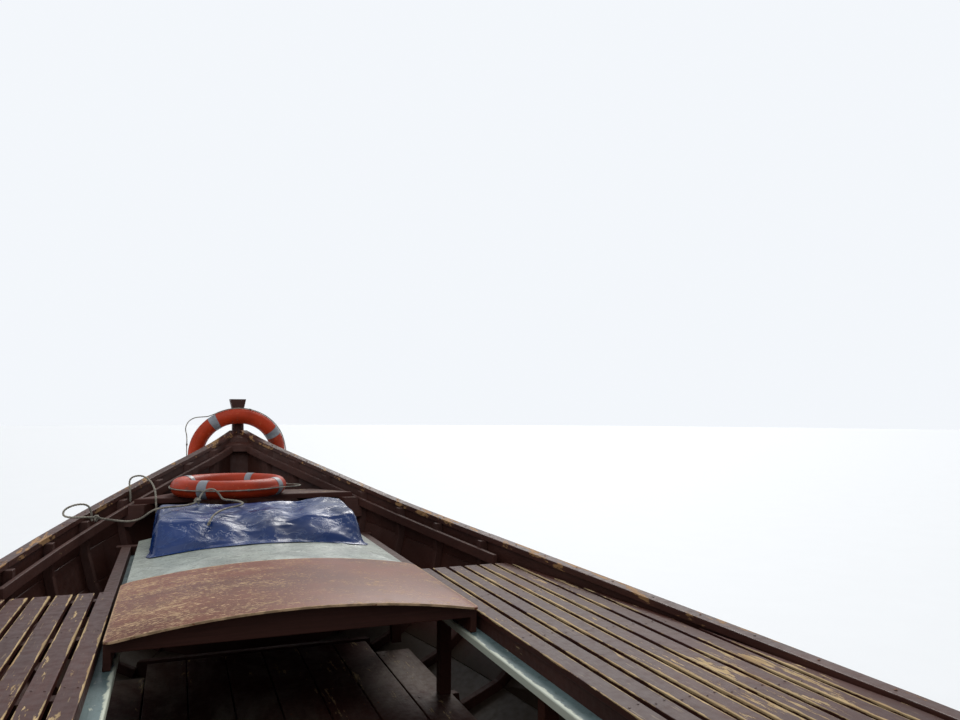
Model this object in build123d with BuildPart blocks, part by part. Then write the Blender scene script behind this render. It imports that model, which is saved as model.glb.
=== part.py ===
from build123d import *
from bisect import bisect
import math
import os

os.makedirs("parts", exist_ok=True)

# A double-ended lagoon passenger boat, in millimetres.
# X points to starboard, Y to the bow and Z up. The origin is on the centreline at the waterline.

# Hull lines of the planking's outer face, one row per station from stern to bow. Columns:
# sheer_y, sheer_z: top edge of the planking; rabbet_y, rabbet_z: its lower edge at the keel;
# half: half breadth at the sheer; heel, hood: half breadth of the outer and inner face at the rabbet;
# fullness: 1 is a straight V, 3 is a flat floor with a round bilge.
stations = [
    (-4600, 790, -4330, -60, 44, 44, 20, 1.20),
    (-4330, 712, -4060, -100, 236, 44, 32, 1.50),
    (-3900, 620, -3730, -135, 560, 42, 40, 1.80),
    (-3250, 535, -3180, -160, 905, 40, 40, 2.30),
    (-2350, 476, -2330, -178, 1190, 40, 40, 2.80),
    (-1250, 452, -1245, -188, 1356, 40, 40, 3.10),
    (0, 453, 0, -190, 1386, 40, 40, 3.20),
    (1250, 490, 1235, -190, 1272, 40, 40, 3.10),
    (2350, 540, 2290, -186, 1119, 40, 40, 2.80),
    (3250, 612, 3080, -176, 922, 40, 40, 2.30),
    (3900, 774, 3600, -160, 567, 42, 40, 1.80),
    (4330, 939, 3900, -140, 214, 44, 32, 1.50),
    (4580, 1036, 4100, -115, 44, 44, 20, 1.20),
]
strake_edges = [0, 0.22, 0.44, 0.62, 0.78, 0.90, 0.97, 0.995, 1]

plank_thick = 24
seam = 0.3

# Backbone
keel_half = 40
keel_bottom_z = -338
keel_drag = 0.02
stem_depth = 125
forefoot_radius = 600
neck_top_z = 1212
head_top_z = 1295
head_half = 58
head_depth = 150
apron_reach = 0.3

# Gunwale
cap_thick = 28
cap_inboard = 12
cap_outboard = 18
rub_depth = 52
rub_thick = 26
inwale_top = 32
inwale_depth = 50
inwale_thick = 22

# Frames
frame_thick = 36
frame_depth = 40
floor_thick = 44
sole_z = 0
sole_thick = 22
sole_plank = 172
sole_gap = 6
sole_planks = 8
sole_aft = -2240
sole_fore = 2620

# Benches
bench_z = 470
slat_thick = 22
slat_wide = 62
slat_pitch = 79.6
slat_count = 9
bench_inner = 644.6
bench_aft = -2400
bench_fore = 2075
carling_wide = 50
carling_deep = 60
carling_fore = 3330
bearer_wide = 45
bearer_ys = [-2350, -1700, -1050, -400, 250, 900, 1480, 2040]
leg_ys = [-2350, -1320, -300, 740, 1760, 2560]
leg_wide = 50
riser_thick = 22
riser_depth = 50

# Ledges and covers between the benches
ledge_wide = 60
ledge_thick = 26
ledge_drop = 71.5
ledge_clear = 0.3
cover_half = 627
cover_aft = 1195
cover_fore = 2075
cover_edge_z = 497
cover_rise = 60
cover_thick = 8
runner_thick = 24
runner_gap = 0.4
cover_travel = 900
sheet_half = 612
sheet_drop = 10
sheet_thick = 3
sheet_aft = 2040
sheet_fore = 3300
hoop_deep = 34
hoop_wide = 40

# Aft deck, in stations from the stern
aft_deck_thick = 22
aft_deck_boards = 6
aft_deck_start = 0.62
aft_deck_pitch = 0.26

# Fore thwart and beam
thwart_y = 3740
thwart_wide = 280
thwart_top_z = 682
thwart_thick = 30
beam_wide = 60
beam_deep = 60

# Soft gear
ring_major = 294
ring_tube = 56
flat_ring_x = -110
flat_ring_y = 3690
hung_ring_y = 4647.2
hung_ring_z = 883
hung_ring_lean = 15
bundle_half = 530
bundle_aft = 2660
bundle_fore = 3300
bundle_top_z = 684

# Drive
shaft_z = -235
prop_y = -4385
shaft_slope = 8
shaft_r = 15
shaft_play = 0.05
tube_r = 30
hub_r = 32
hub_long = 80
blade_r = 158
blade_count = 3
engine_long = 620
engine_wide = 400
engine_high = 380
engine_y = -2720
bed_wide = 70
bed_high = 82
box_aft = engine_y - 400
box_fore = engine_y + 400
box_half = 380
box_top_z = 560
box_wall = 20
lid_thick = 24
lid_over = 14
hinge_r = 9
hinge_pin_r = 4
hinge_long = 70
hinge_xs = [-250, 250]

# Steering
axis_foot = (-4452, -405)
axis_head = (-4730, 790)
rudder_thick = 40
rudder_gap = 32
post_gap = 40
rudder_chord = 470
gudgeon_zs = [40, 560]
gudgeon_r = 22
gudgeon_high = 26
pintle_r = 10
tiller_z = 905
tiller_reach = 1250
heel_iron_thick = 14
heel_iron_wide = 60


def row_at(u):
    """Smooth row of the table at u, counted in rows from the stern."""
    i = min(int(u), len(stations) - 2)
    f = u - i
    b, c = stations[i], stations[i + 1]
    a = stations[i - 1] if i else [2 * p - q for p, q in zip(b, c)]
    d = stations[i + 2] if i + 2 < len(stations) else [2 * q - p for p, q in zip(b, c)]
    return [
        0.5 * (2 * q + (r - p) * f + (2 * p - 5 * q + 4 * r - s) * f**2 + (3 * q - p - 3 * r + s) * f**3)
        for p, q, r, s in zip(a, b, c, d)
    ]


def shrunk(points, distance):
    """Points moved inboard and up, square to the line through their neighbours."""
    moved = []
    for i, (x, v) in enumerate(points):
        (x0, v0), (x1, v1) = points[max(i - 1, 0)], points[min(i + 1, len(points) - 1)]
        length = math.hypot(x1 - x0, v1 - v0)
        moved.append((x + (v1 - v0) / length * distance, v - (x1 - x0) / length * distance))
    return moved


def grid_station(u):
    """Ends of the station line, then points on the planking's outer and inner faces and the frames'."""
    sheer_y, sheer_z, rabbet_y, rabbet_z, half, heel, hood, fullness = row_at(u)
    length = math.hypot(sheer_y - rabbet_y, sheer_z - rabbet_z)
    up_y, up_z = (sheer_y - rabbet_y) / length, (sheer_z - rabbet_z) / length
    curve = [max(0, 1 - w**fullness) ** (1 / fullness) for w in strake_edges]
    inner_length = length - plank_thick
    outer = [(heel + (half - heel) * c, -w * length) for c, w in zip(curve, strake_edges)]
    inner = [
        (hood + (half - plank_thick - hood) * c, -w * inner_length) for c, w in zip(curve, strake_edges)
    ]
    faces = [*outer, *inner, *shrunk(inner, 0.8), *shrunk(inner, frame_depth)]
    inner_foot = (rabbet_y + plank_thick * up_y, rabbet_z + plank_thick * up_z)
    return [sheer_y, sheer_z, rabbet_y, rabbet_z, *inner_foot, *[part for point in faces for part in point]]


# The hull's lines run straight between these places, counted in rows, closer together near both ends
fine_step = 0.25
fine_rows = 3
last_u = len(stations) - 1
grid_us = [
    i * fine_step
    for i in range(int(last_u / fine_step) + 1)
    if i % 2 == 0 or min(i * fine_step, last_u - i * fine_step) < fine_rows
]
grid = [grid_station(u) for u in grid_us]


def grid_place(u):
    """Last place in the grid before u, and the share of the way from it to the next."""
    i = min(max(bisect(grid_us, u) - 1, 0), len(grid) - 2)
    return i, (u - grid_us[i]) / (grid_us[i + 1] - grid_us[i])


class Station:
    """A flat cut across the hull. Its points are (x, v), with v measured up from the sheer."""

    def __init__(self, u):
        i, f = grid_place(u)
        values = [p + (q - p) * f for p, q in zip(grid[i], grid[i + 1])]
        self.sheer_y, self.sheer_z, rabbet_y, rabbet_z, foot_y, foot_z = values[:6]
        self.depth = math.hypot(self.sheer_y - rabbet_y, self.sheer_z - rabbet_z)
        self.inner_depth = math.hypot(self.sheer_y - foot_y, self.sheer_z - foot_z)
        self.up_y = (self.sheer_y - rabbet_y) / self.depth
        self.up_z = (self.sheer_z - rabbet_z) / self.depth
        points = list(zip(values[6::2], values[7::2]))
        count = len(strake_edges)
        outer, inner, self.skin, self.frame_face = (points[i * count : (i + 1) * count] for i in range(4))
        self.outer = [(x, -w * self.depth) for (x, v), w in zip(outer, strake_edges)]
        self.inner = [(x, -w * self.inner_depth) for (x, v), w in zip(inner, strake_edges)]

    def v_at_z(self, z):
        return (z - self.sheer_z) / self.up_z

    def y_at(self, v):
        return self.sheer_y + v * self.up_y

    def point(self, x, v):
        return Vector(x, self.y_at(v), self.sheer_z + v * self.up_z)

    def x_on(self, face, v):
        """Half breadth of a face, outer or inner, at the level v."""
        for (x0, v0), (x1, v1) in zip(face, face[1:]):
            if v1 <= v <= v0:
                return x0 + (x1 - x0) * (v - v0) / (v1 - v0)
        return face[0][0] if v > 0 else face[-1][0]


def u_at_y(y, z):
    """Place along the hull where the cut at the height z passes y."""
    low, high = 0, last_u
    for _ in range(40):
        middle = (low + high) / 2
        at = Station(middle)
        if at.y_at(at.v_at_z(z)) < y:
            low = middle
        else:
            high = middle
    return low


def inner_half(y, z):
    """Half breadth inside the planking at y and z."""
    at = Station(u_at_y(y, z))
    return at.x_on(at.inner, at.v_at_z(z))


def frame_half(y, z):
    """Half breadth inside the frames at y and z."""
    at = Station(u_at_y(y, z))
    return at.x_on(at.frame_face, at.v_at_z(z))


def run_end(x, start, step, room):
    """First place from the start where the room on one side is more than x."""
    y = start
    while room(y) < x and y * step < 0:
        y += step
    return y


def span(first, last):
    """First and last u with the grid's own stations between them."""
    between = [u for u in grid_us if first < u < last]
    return [Station(u) for u in [first, *between, last]]


def flat(*points):
    return Face(Wire.make_polygon(points, close=True))


def patch(a, b, c, d):
    """Flat face between four points, or two that meet on the outer of its diagonals."""
    square = (c - a).cross(d - b)
    if abs(square.dot(b - a)) < 1e-6 * square.length:
        return [flat(a, b, c, d)]
    if abs(a.X + c.X) > abs(b.X + d.X):
        return [flat(a, b, c), flat(a, c, d)]
    return [flat(a, b, d), flat(b, c, d)]


def skin(rings):
    """Flat faces from each ring of points to the next."""
    faces = []
    for near, far in zip(rings, rings[1:]):
        for i in range(len(near)):
            faces += patch(near[i - 1], near[i], far[i], far[i - 1])
    return faces


def flat_faced(rings):
    """Solid through rings of points, with a flat face at each end."""
    return Solid(Shell([flat(*rings[0]), flat(*rings[-1]), *skin(rings)]))


def along(stations_used, shape):
    """Solid whose closed outline runs in straight lines from each station to the next."""
    return flat_faced([[at.point(x, v) for x, v in shape(at)] for at in stations_used])


def finish(piece, name):
    piece.label = name
    export_step(piece, f"parts/{name}.step")


def finish_pair(piece, name):
    """Write a starboard piece and its mirror image to port."""
    port = mirror(piece, about=Plane.YZ)
    finish(piece, name + "_starboard")
    finish(port, name + "_port")


def finish_both(piece, name):
    """Write the starboard solids and their mirror images as one piece."""
    finish(Compound([*piece.solids(), *mirror(piece, about=Plane.YZ).solids()]), name)


def level_box(x0, x1, y0, y1, z0, z1):
    """Square-edged timber between two corners."""
    middle = Vector((x0 + x1) / 2, (y0 + y1) / 2, (z0 + z1) / 2)
    return Box(x1 - x0, y1 - y0, z1 - z0, mode=Mode.PRIVATE).moved(Location(middle))


whole = span(0, last_u)

# Planking, laid edge to edge. Each strake runs between two of the edges counted from the sheer.
strakes = [(0, 1), (1, 2), (2, 3), (3, 4), (4, 5), (5, 6), (6, 8)]


def toward(point, other, distance):
    """Point moved a distance towards another."""
    share = distance / math.hypot(other[0] - point[0], other[1] - point[1])
    return tuple(p + (q - p) * share for p, q in zip(point, other))


def strake_outline(at, first, last):
    foot_gap = 0 if last == len(strake_edges) - 1 else seam
    sides = [
        face[first:last] + [toward(face[last], face[last - 1], foot_gap)] for face in (at.outer, at.inner)
    ]
    return sides[0] + sides[1][::-1]


with BuildPart() as planking:
    for first, last in strakes:
        add(along(whole, lambda at: strake_outline(at, first, last)))
finish_pair(planking.part, "planking")

# Backbone: side view of the boat's outer edge, used to trim the keel and to shape the stem
bow = Station(last_u)
stern = Station(0)
stem_rake = bow.up_y / bow.up_z


def keel_z(y):
    return keel_bottom_z + keel_drag * y


def stem_y(z):
    """Fore face of the stem."""
    return bow.sheer_y + (z - bow.sheer_z) * stem_rake + stem_depth


def stem_back_y(z):
    return stem_y(z) - stem_depth


forefoot_y = stem_y(keel_z(4150))
with BuildSketch(Plane.YZ) as side_view:
    with BuildLine():
        Polyline(
            (-5200, keel_z(-5200)),
            (forefoot_y, keel_z(forefoot_y)),
            (stem_y(1400), 1400),
            (-5200, 1400),
            close=True,
        )
    make_face()
    fillet(side_view.vertices().filter_by(lambda p: p.Y > 3500 and p.Z < 0), forefoot_radius)


def keel_outline(at):
    drop = at.up_z - keel_drag * at.up_y
    bottom = (keel_z(at.sheer_y) - at.sheer_z) / drop
    foot_x, foot_v = at.inner[-1]
    rabbet_x = min(keel_half, at.outer[-1][0]) - seam
    side = [(keel_half, bottom), (keel_half, -at.depth - 3), (rabbet_x, -at.depth), (foot_x - seam, foot_v)]
    return side + [(-x, v) for x, v in side[::-1]]


def shaft_line(distance):
    """Point on the propeller shaft, the distance forward of the hub's middle."""
    slope = math.radians(shaft_slope)
    return Vector(0, prop_y + distance * math.cos(slope), shaft_z + distance * math.sin(slope))


shaft_dir = (shaft_line(1) - shaft_line(0)).normalized()
hub_plane = Plane(origin=shaft_line(0), x_dir=(1, 0, 0), z_dir=shaft_dir)
tube_aft = 60
tube_fore = 260
with BuildPart() as keel:
    add(along(whole, keel_outline))
    extrude(side_view.sketch, amount=200, both=True, mode=Mode.INTERSECT)
    with BuildSketch(hub_plane.offset(0)):
        Circle(tube_r + seam)
    extrude(amount=tube_fore + 1, mode=Mode.SUBTRACT)
finish(keel.part, "keel")

# Stem with its neck and flared head
with BuildPart() as stem:
    with BuildSketch(Plane.YZ):
        with BuildLine():
            Polyline(
                (stem_back_y(-500), -500),
                (stem_y(-500), -500),
                (stem_y(neck_top_z), neck_top_z),
                (stem_back_y(neck_top_z), neck_top_z),
                close=True,
            )
        make_face()
    extrude(amount=keel_half, both=True)
    extrude(side_view.sketch, amount=200, both=True, mode=Mode.INTERSECT)
    chamfer(
        stem.edges().filter_by(Axis((0, 0, 0), (0, bow.up_y, bow.up_z))).sort_by(Axis.Y)[-2:], 16
    )
    with BuildSketch(Plane.XY.offset(neck_top_z)):
        with Locations((0, stem_y(neck_top_z) - stem_depth / 2)):
            Rectangle(2 * keel_half, stem_depth)
    with BuildSketch(Plane.XY.offset(head_top_z)):
        with Locations((0, stem_y(head_top_z) - stem_depth / 2)):
            Rectangle(2 * head_half, head_depth)
    loft(ruled=True)
finish(stem.part, "stem")


def wedge(at):
    """Whole width between the two sides of the planking."""
    side = [(x - seam, v) for x, v in at.inner[:-1]]
    return side + [(-x, v) for x, v in side[::-1]]


# Aprons fill the two ends of the hull behind the stem and the sternpost
with BuildPart() as aprons:
    add(along(span(last_u - apron_reach, last_u), wedge))
    add(along(span(0, apron_reach), wedge))
finish(aprons.part, "aprons")

# Sternpost, from the planking's end to the rudder's axis, above the propeller's opening
axis_dy = axis_head[0] - axis_foot[0]
axis_dz = axis_head[1] - axis_foot[1]
axis_len = math.hypot(axis_dy, axis_dz)
axis_dir = Vector(0, axis_dy / axis_len, axis_dz / axis_len)


def axis_y(z):
    return axis_foot[0] + (z - axis_foot[1]) * axis_dy / axis_dz


def axis_point(z):
    return Vector(0, axis_y(z), z)


def post_front_y(z):
    return stern.sheer_y + (z - stern.sheer_z) * stern.up_y / stern.up_z


post_top_z = stern.sheer_z + 70
post_foot_z = -62
with BuildPart() as sternpost:
    with BuildSketch(Plane.YZ):
        with BuildLine():
            Polyline(
                (post_front_y(post_foot_z), post_foot_z),
                (post_front_y(post_top_z), post_top_z),
                (axis_y(post_top_z) + post_gap, post_top_z),
                (axis_y(post_foot_z) + post_gap, post_foot_z),
                close=True,
            )
        make_face()
    extrude(amount=keel_half, both=True)
finish(sternpost.part, "sternpost")

# Heel iron under the keel, which carries the foot of the rudder
iron_aft = axis_y(keel_z(-4450)) - 40
iron_fore = -3700
iron_tilt = math.atan(keel_drag)
with BuildPart() as heel_iron:
    with BuildSketch(Plane.YZ):
        with BuildLine():
            Polyline(
                (iron_aft, keel_z(iron_aft) - heel_iron_thick),
                (iron_fore, keel_z(iron_fore) - heel_iron_thick),
                (iron_fore, keel_z(iron_fore)),
                (iron_aft, keel_z(iron_aft)),
                close=True,
            )
        make_face()
    extrude(amount=heel_iron_wide / 2, both=True)
    with BuildSketch(Plane(origin=axis_point(keel_z(-4450)), x_dir=(1, 0, 0), z_dir=axis_dir)):
        Circle(pintle_r + 0.05)
    extrude(amount=60, both=True, mode=Mode.SUBTRACT)
finish(heel_iron.part, "heel_iron")

# Frames. Below the benches the side frames stop under the bearers.
frame_top_z = bench_z - slat_thick - carling_deep - 2


def frame_us():
    """Places of the frames, two to each row of the table."""
    return [1 + 0.5 * i for i in range(2 * len(stations) - 5)]


def u_step(u, distance):
    """Change of u for a distance along the sheer."""
    i, f = grid_place(u + 0.001 * math.copysign(1, distance))
    return distance * (grid_us[i + 1] - grid_us[i]) / (grid[i + 1][0] - grid[i][0])


def side_frame_outline(at, top, first):
    """Frame from its level top down to the sixth strake, its own points starting at first."""
    sides = [
        [(at.x_on(face, top), top)] + face[first:6] for face in (at.skin, at.frame_face)
    ]
    return sides[0] + sides[1][::-1]


with BuildPart() as side_frames:
    for u in frame_us():
        middle = Station(u)
        benched = bench_aft - 60 < middle.sheer_y < bench_fore + 60
        top = middle.v_at_z(frame_top_z) if benched else 0
        first = next(i for i, (x, v) in enumerate(middle.frame_face) if v < top - 2)
        add(along([Station(u + u_step(u, -frame_thick)), middle],
                  lambda at: side_frame_outline(at, top, first)))
finish_both(side_frames.part, "side_frames")


def floor_outline(at):
    top = at.v_at_z(sole_z - sole_thick - seam)
    run = [p for p in at.skin[5:] if p[1] < top - 12]
    side = [(run[0][0] - 12, top)] + run
    return side + [(-x, v) for x, v in side[::-1] if x > 0]


with BuildPart() as floor_timbers:
    for u in frame_us():
        gap = u_step(u, seam)
        add(along([Station(u + gap), Station(u + gap + u_step(u, floor_thick))], floor_outline))
finish(floor_timbers.part, "floor_timbers")


# Gunwale: cap rail, rub rail and inwale
def cap_outline(at):
    outer = at.outer[0][0] + cap_outboard
    inner = max(at.inner[0][0] - cap_inboard, seam)
    return [(inner, 0), (outer, 0), (outer, cap_thick), (inner, cap_thick)]


# The rails are scarfed from three lengths a side
scarf_us = [0, 4, 8, last_u]
scarf_gap = 0.002


def lengths(margin):
    """Stations of each length of a rail that ends at a margin from the stem and the sternpost."""
    for first, last in zip(scarf_us, scarf_us[1:]):
        yield span(max(first + scarf_gap, margin), min(last, last_u - margin))


with BuildPart() as cap_rails:
    for stations_used in lengths(0):
        add(along(stations_used, cap_outline))
finish_both(cap_rails.part, "cap_rails")


rub_seam = 1.4


def rub_outline(at):
    top, low = -seam, -rub_depth
    x_top, x_low = (at.x_on(at.outer, v) + rub_seam for v in (top, low))
    return [(x_top, top), (x_low, low), (x_low + rub_thick - 8, low), (x_top + rub_thick, top - 14),
            (x_top + rub_thick, top)]


with BuildPart() as rub_rails:
    for stations_used in lengths(0.1):
        add(along(stations_used, rub_outline))
finish_both(rub_rails.part, "rub_rails")

inwale_low = -inwale_top - inwale_depth


def inwale_outline(at):
    top = -inwale_top
    x_top, x_low = (at.x_on(at.frame_face, v) - seam for v in (top, inwale_low))
    return [(x_top, top), (x_low, inwale_low), (x_low - inwale_thick, inwale_low), (x_top - inwale_thick, top)]


inwale_clear = 70
with BuildPart() as inwales:
    add(along(span(u_at_y(bench_fore + inwale_clear, bench_z), last_u - 0.62), inwale_outline))
    add(along(span(0.62, u_at_y(bench_aft - inwale_clear, bench_z)), inwale_outline))
finish_both(inwales.part, "inwales")


# Breasthooks tie the two sides together behind the stem and the sternpost
def hook_outline(at):
    top, low = -inwale_top, -inwale_top - inwale_depth
    side = [(at.x_on(at.inner, v) - seam, v) for v in (top, low)]
    return side + [(-x, v) for x, v in side[::-1]]


with BuildPart() as breasthooks:
    add(along(span(last_u - 0.55, last_u - apron_reach - 0.01), hook_outline))
    add(along(span(apron_reach + 0.01, 0.55), hook_outline))
finish(breasthooks.part, "breasthooks")

# Sole boards along the boat
sole_half = (sole_planks * sole_plank + (sole_planks - 1) * sole_gap) / 2
with BuildPart() as sole:
    for i in range(sole_planks):
        left = -sole_half + i * (sole_plank + sole_gap)
        reach = max(-left, left + sole_plank)
        ends = [
            run_end(reach, start, step, lambda y: frame_half(y, sole_z - sole_thick) - 3)
            for start, step in ((sole_aft, 5), (sole_fore, -5))
        ]
        add(level_box(left, left + sole_plank, *ends, sole_z - sole_thick, sole_z))
finish(sole.part, "sole")

# Benches: slats along the boat on bearers, which rest on a riser outboard and a carling inboard
slat_low_z = bench_z - slat_thick
bearer_low_z = slat_low_z - carling_deep
carling_in = bench_inner + 6
carling_out = carling_in + carling_wide
slat_clear = cap_inboard + 5.5


def slat_end(x, start, step):
    """End of a slat's edge at x, where it meets the line of the boat's side."""
    return run_end(x, start, step, lambda y: inner_half(y, bench_z - 1) - slat_clear)


with BuildPart() as bench_slats:
    for i in range(slat_count):
        inner = bench_inner + i * slat_pitch
        outer = inner + slat_wide
        with BuildSketch(Plane.XY.offset(slat_low_z)):
            with BuildLine():
                Polyline(
                    (inner, slat_end(inner, bench_aft, 5)),
                    (outer, slat_end(outer, bench_aft, 5)),
                    (outer, slat_end(outer, bench_fore, -5)),
                    (inner, slat_end(inner, bench_fore, -5)),
                    close=True,
                )
            make_face()
        extrude(amount=slat_thick)
finish_pair(bench_slats.part, "bench_slats")

bearer_clear = 8
with BuildPart() as bench_bearers:
    for y in bearer_ys:
        reach = min(inner_half(y + s * bearer_wide / 2, bearer_low_z) for s in (-1, 1)) - bearer_clear
        add(level_box(carling_out + seam, reach, y - bearer_wide / 2, y + bearer_wide / 2,
                      bearer_low_z, slat_low_z - seam))
finish_both(bench_bearers.part, "bench_bearers")


def riser_outline(at):
    """Level stringer on the inner faces of the side frames."""
    top = at.v_at_z(bearer_low_z - 2 * seam)
    low = at.v_at_z(bearer_low_z - riser_depth)
    x_top, x_low = (at.x_on(at.frame_face, v) - seam for v in (top, low))
    return [(x_top, top), (x_low, low), (x_low - riser_thick, low), (x_top - riser_thick, top)]


with BuildPart() as bench_risers:
    add(along(span(u_at_y(bench_aft, 380), u_at_y(bench_fore, 380)), riser_outline))
finish_both(bench_risers.part, "bench_risers")

with BuildPart() as carlings:
    add(level_box(carling_in, carling_out, bench_aft, carling_fore, bearer_low_z, slat_low_z - seam))
    for y in leg_ys:
        middle = (carling_in + carling_out) / 2
        add(level_box(middle - leg_wide / 2, middle + leg_wide / 2, y - leg_wide / 2,
                      y + leg_wide / 2, sole_z + seam, bearer_low_z + 1))
finish_both(carlings.part, "carlings")

# Pale ledges inside the benches, on which the cover's runners slide
ledge_z = bench_z - ledge_drop
ledge_out = carling_in - ledge_clear
ledge_in = ledge_out - ledge_wide
with BuildPart() as ledge_rails:
    add(level_box(ledge_in, ledge_out, bench_aft, carling_fore, ledge_z - ledge_thick, ledge_z))
    fillet(ledge_rails.edges().filter_by(Axis.Y).group_by(Axis.X)[0].sort_by(Axis.Z)[-1:], 6)
finish_both(ledge_rails.part, "ledge_rails")


# Arched cover and sheet. Both are arcs across the boat.
def arch_radius(half, rise):
    return (half * half + rise * rise) / (2 * rise)


def across(y):
    """Plane facing aft at y, with X to starboard and its own Y up."""
    return Plane(origin=(0, y, 0), x_dir=(1, 0, 0), z_dir=(0, -1, 0))


def arch(y, half, edge_z, thick, rise=cover_rise):
    """Cross-section of an arched board, its outer corners at edge_z."""
    with BuildSketch(across(y)) as board:
        with BuildLine():
            RadiusArc((-half, edge_z), (half, edge_z), arch_radius(half, rise))
            Line((half, edge_z), (half, edge_z - thick))
            RadiusArc((half, edge_z - thick), (-half, edge_z - thick), -arch_radius(half, rise))
            Line((-half, edge_z - thick), (-half, edge_z))
        make_face()
    return board.sketch


def hoop(y, half, edge_z, deep, wide):
    """Arched beam, flat on its underside."""
    with BuildSketch(across(y)) as beam:
        with BuildLine():
            RadiusArc((-half, edge_z), (half, edge_z), arch_radius(half, cover_rise))
            Polyline((half, edge_z), (half, edge_z - deep), (-half, edge_z - deep), (-half, edge_z))
        make_face()
    return extrude(beam.sketch, amount=wide, mode=Mode.PRIVATE)


cover_low_z = cover_edge_z - cover_thick
runner_in = cover_half - runner_thick
cover_corner = 40
with BuildPart() as cover_board:
    add(extrude(arch(cover_fore, cover_half, cover_edge_z, cover_thick), amount=cover_fore - cover_aft,
                mode=Mode.PRIVATE))
    fillet(cover_board.edges().filter_by(Axis.Z), cover_corner)
finish(cover_board.part, "cover_board")

cover_frame_inset = 45
with BuildPart() as cover_frame:
    for side in (-1, 1):
        low, high = sorted((side * runner_in, side * cover_half))
        add(level_box(low, high, cover_aft + cover_frame_inset, cover_fore - cover_frame_inset,
                      ledge_z + runner_gap, cover_low_z - seam))
    for y in (cover_fore - cover_frame_inset, cover_aft + cover_frame_inset + hoop_wide):
        add(hoop(y, cover_half, cover_low_z - seam, hoop_deep, hoop_wide))
finish(cover_frame.part, "cover_frame")

sheet_edge_z = cover_edge_z - sheet_drop - cover_thick
with BuildPart() as arched_sheet:
    add(extrude(arch(sheet_fore, sheet_half, sheet_edge_z, sheet_thick), amount=sheet_fore - sheet_aft,
                mode=Mode.PRIVATE))
finish(arched_sheet.part, "arched_sheet")

sheet_low_z = sheet_edge_z - sheet_thick - seam
sheet_hoop_ys = [2160, 2700, 3280]
with BuildPart() as sheet_hoops:
    for y in sheet_hoop_ys:
        add(hoop(y, sheet_half - 2, sheet_low_z, hoop_deep, hoop_wide))
    for side in (-1, 1):
        low, high = sorted((side * (sheet_half - 26), side * (sheet_half - 2)))
        add(level_box(low, high, sheet_aft + 90, sheet_fore - 24, ledge_z + seam, sheet_low_z - seam))
finish(sheet_hoops.part, "sheet_hoops")

# Beam across the boat at the fore end of the carlings
fore_beam_y = carling_fore + seam + beam_wide / 2
beam_reach = min(frame_half(fore_beam_y + s * beam_wide / 2, bearer_low_z) for s in (-1, 1)) - seam
with BuildPart() as fore_beam:
    add(level_box(-beam_reach, beam_reach, fore_beam_y - beam_wide / 2, fore_beam_y + beam_wide / 2,
                  bearer_low_z, bearer_low_z + beam_deep))
finish(fore_beam.part, "fore_beam")

# Fore thwart, cut off short of the inwales, on a pair of cleats against the side frames
thwart_low_z = thwart_top_z - thwart_thick
thwart_ends = [thwart_y - thwart_wide / 2, thwart_y + thwart_wide / 2]
thwart_clear = 6


def thwart_corner(y):
    return frame_half(y, thwart_low_z) - inwale_thick - thwart_clear


with BuildPart() as fore_thwart:
    with BuildSketch(Plane.XY.offset(thwart_low_z)):
        with BuildLine():
            Polyline(
                (thwart_corner(thwart_ends[0]), thwart_ends[0]),
                (thwart_corner(thwart_ends[1]), thwart_ends[1]),
                (-thwart_corner(thwart_ends[1]), thwart_ends[1]),
                (-thwart_corner(thwart_ends[0]), thwart_ends[0]),
                close=True,
            )
        make_face()
    extrude(amount=thwart_thick)
    chamfer(fore_thwart.edges().group_by(Axis.Z)[-1], 4)
finish(fore_thwart.part, "fore_thwart")

cleat_deep = 70
cleat_wide = 90


def cleat_outline(at):
    """Cleat under the thwart's end, on the side frames below the inwale and up its inner face."""
    top = at.v_at_z(thwart_low_z - seam)
    shelf = min(inwale_low, top - 12) - seam
    low = shelf - cleat_deep
    x_shelf, x_low = (at.x_on(at.frame_face, v) - seam for v in (shelf, low))
    side = min(at.x_on(at.frame_face, v) for v in (-inwale_top, inwale_low, top)) - inwale_thick - 2 * seam
    return [(side, top), (side, shelf), (x_shelf, shelf), (x_low, low), (x_low - 40, low),
            (side - cleat_wide, shelf), (side - cleat_wide, top)]


with BuildPart() as thwart_cleats:
    first, last = (u_at_y(y, thwart_low_z) for y in (thwart_y - 190, thwart_y + 190))
    piece = along(span(first, last), cleat_outline)
    add(piece)
    add(mirror(piece, about=Plane.YZ))
finish(thwart_cleats.part, "thwart_cleats")


# Aft deck boards, athwartships, between the sternpost and the engine box
def deck_outline(at):
    top = inwale_low - seam
    side = [(at.x_on(at.frame_face, v) - 1, v) for v in (top, top - aft_deck_thick)]
    return side + [(-x, v) for x, v in side[::-1]]


with BuildPart() as aft_deck:
    for i in range(aft_deck_boards):
        start = aft_deck_start + i * aft_deck_pitch
        add(along(span(start, start + aft_deck_pitch - 0.012), deck_outline))
finish(aft_deck.part, "aft_deck")

# Lifebuoys: one flat on the fore thwart, one looped over the stem head
ring_facets = 36
ring_sides = 12


def ring_point(plane, turn, radius, height=0):
    """Point at a turn and a radius about a plane's own Z."""
    return (plane.origin + plane.x_dir * radius * math.cos(turn) + plane.y_dir * radius * math.sin(turn)
            + plane.z_dir * height)


def ring(plane):
    """Lifebuoy about a plane's own Z."""
    corner_r = ring_tube / math.cos(math.pi / ring_sides)
    corners = [math.pi * (2 * k + 1) / ring_sides for k in range(ring_sides)]
    rings = [
        [
            ring_point(plane, 2 * math.pi * i / ring_facets, ring_major + corner_r * math.cos(a),
                       corner_r * math.sin(a))
            for a in corners
        ]
        for i in range(ring_facets)
    ]
    return Solid(Shell(skin([*rings, rings[0]])))


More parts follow.
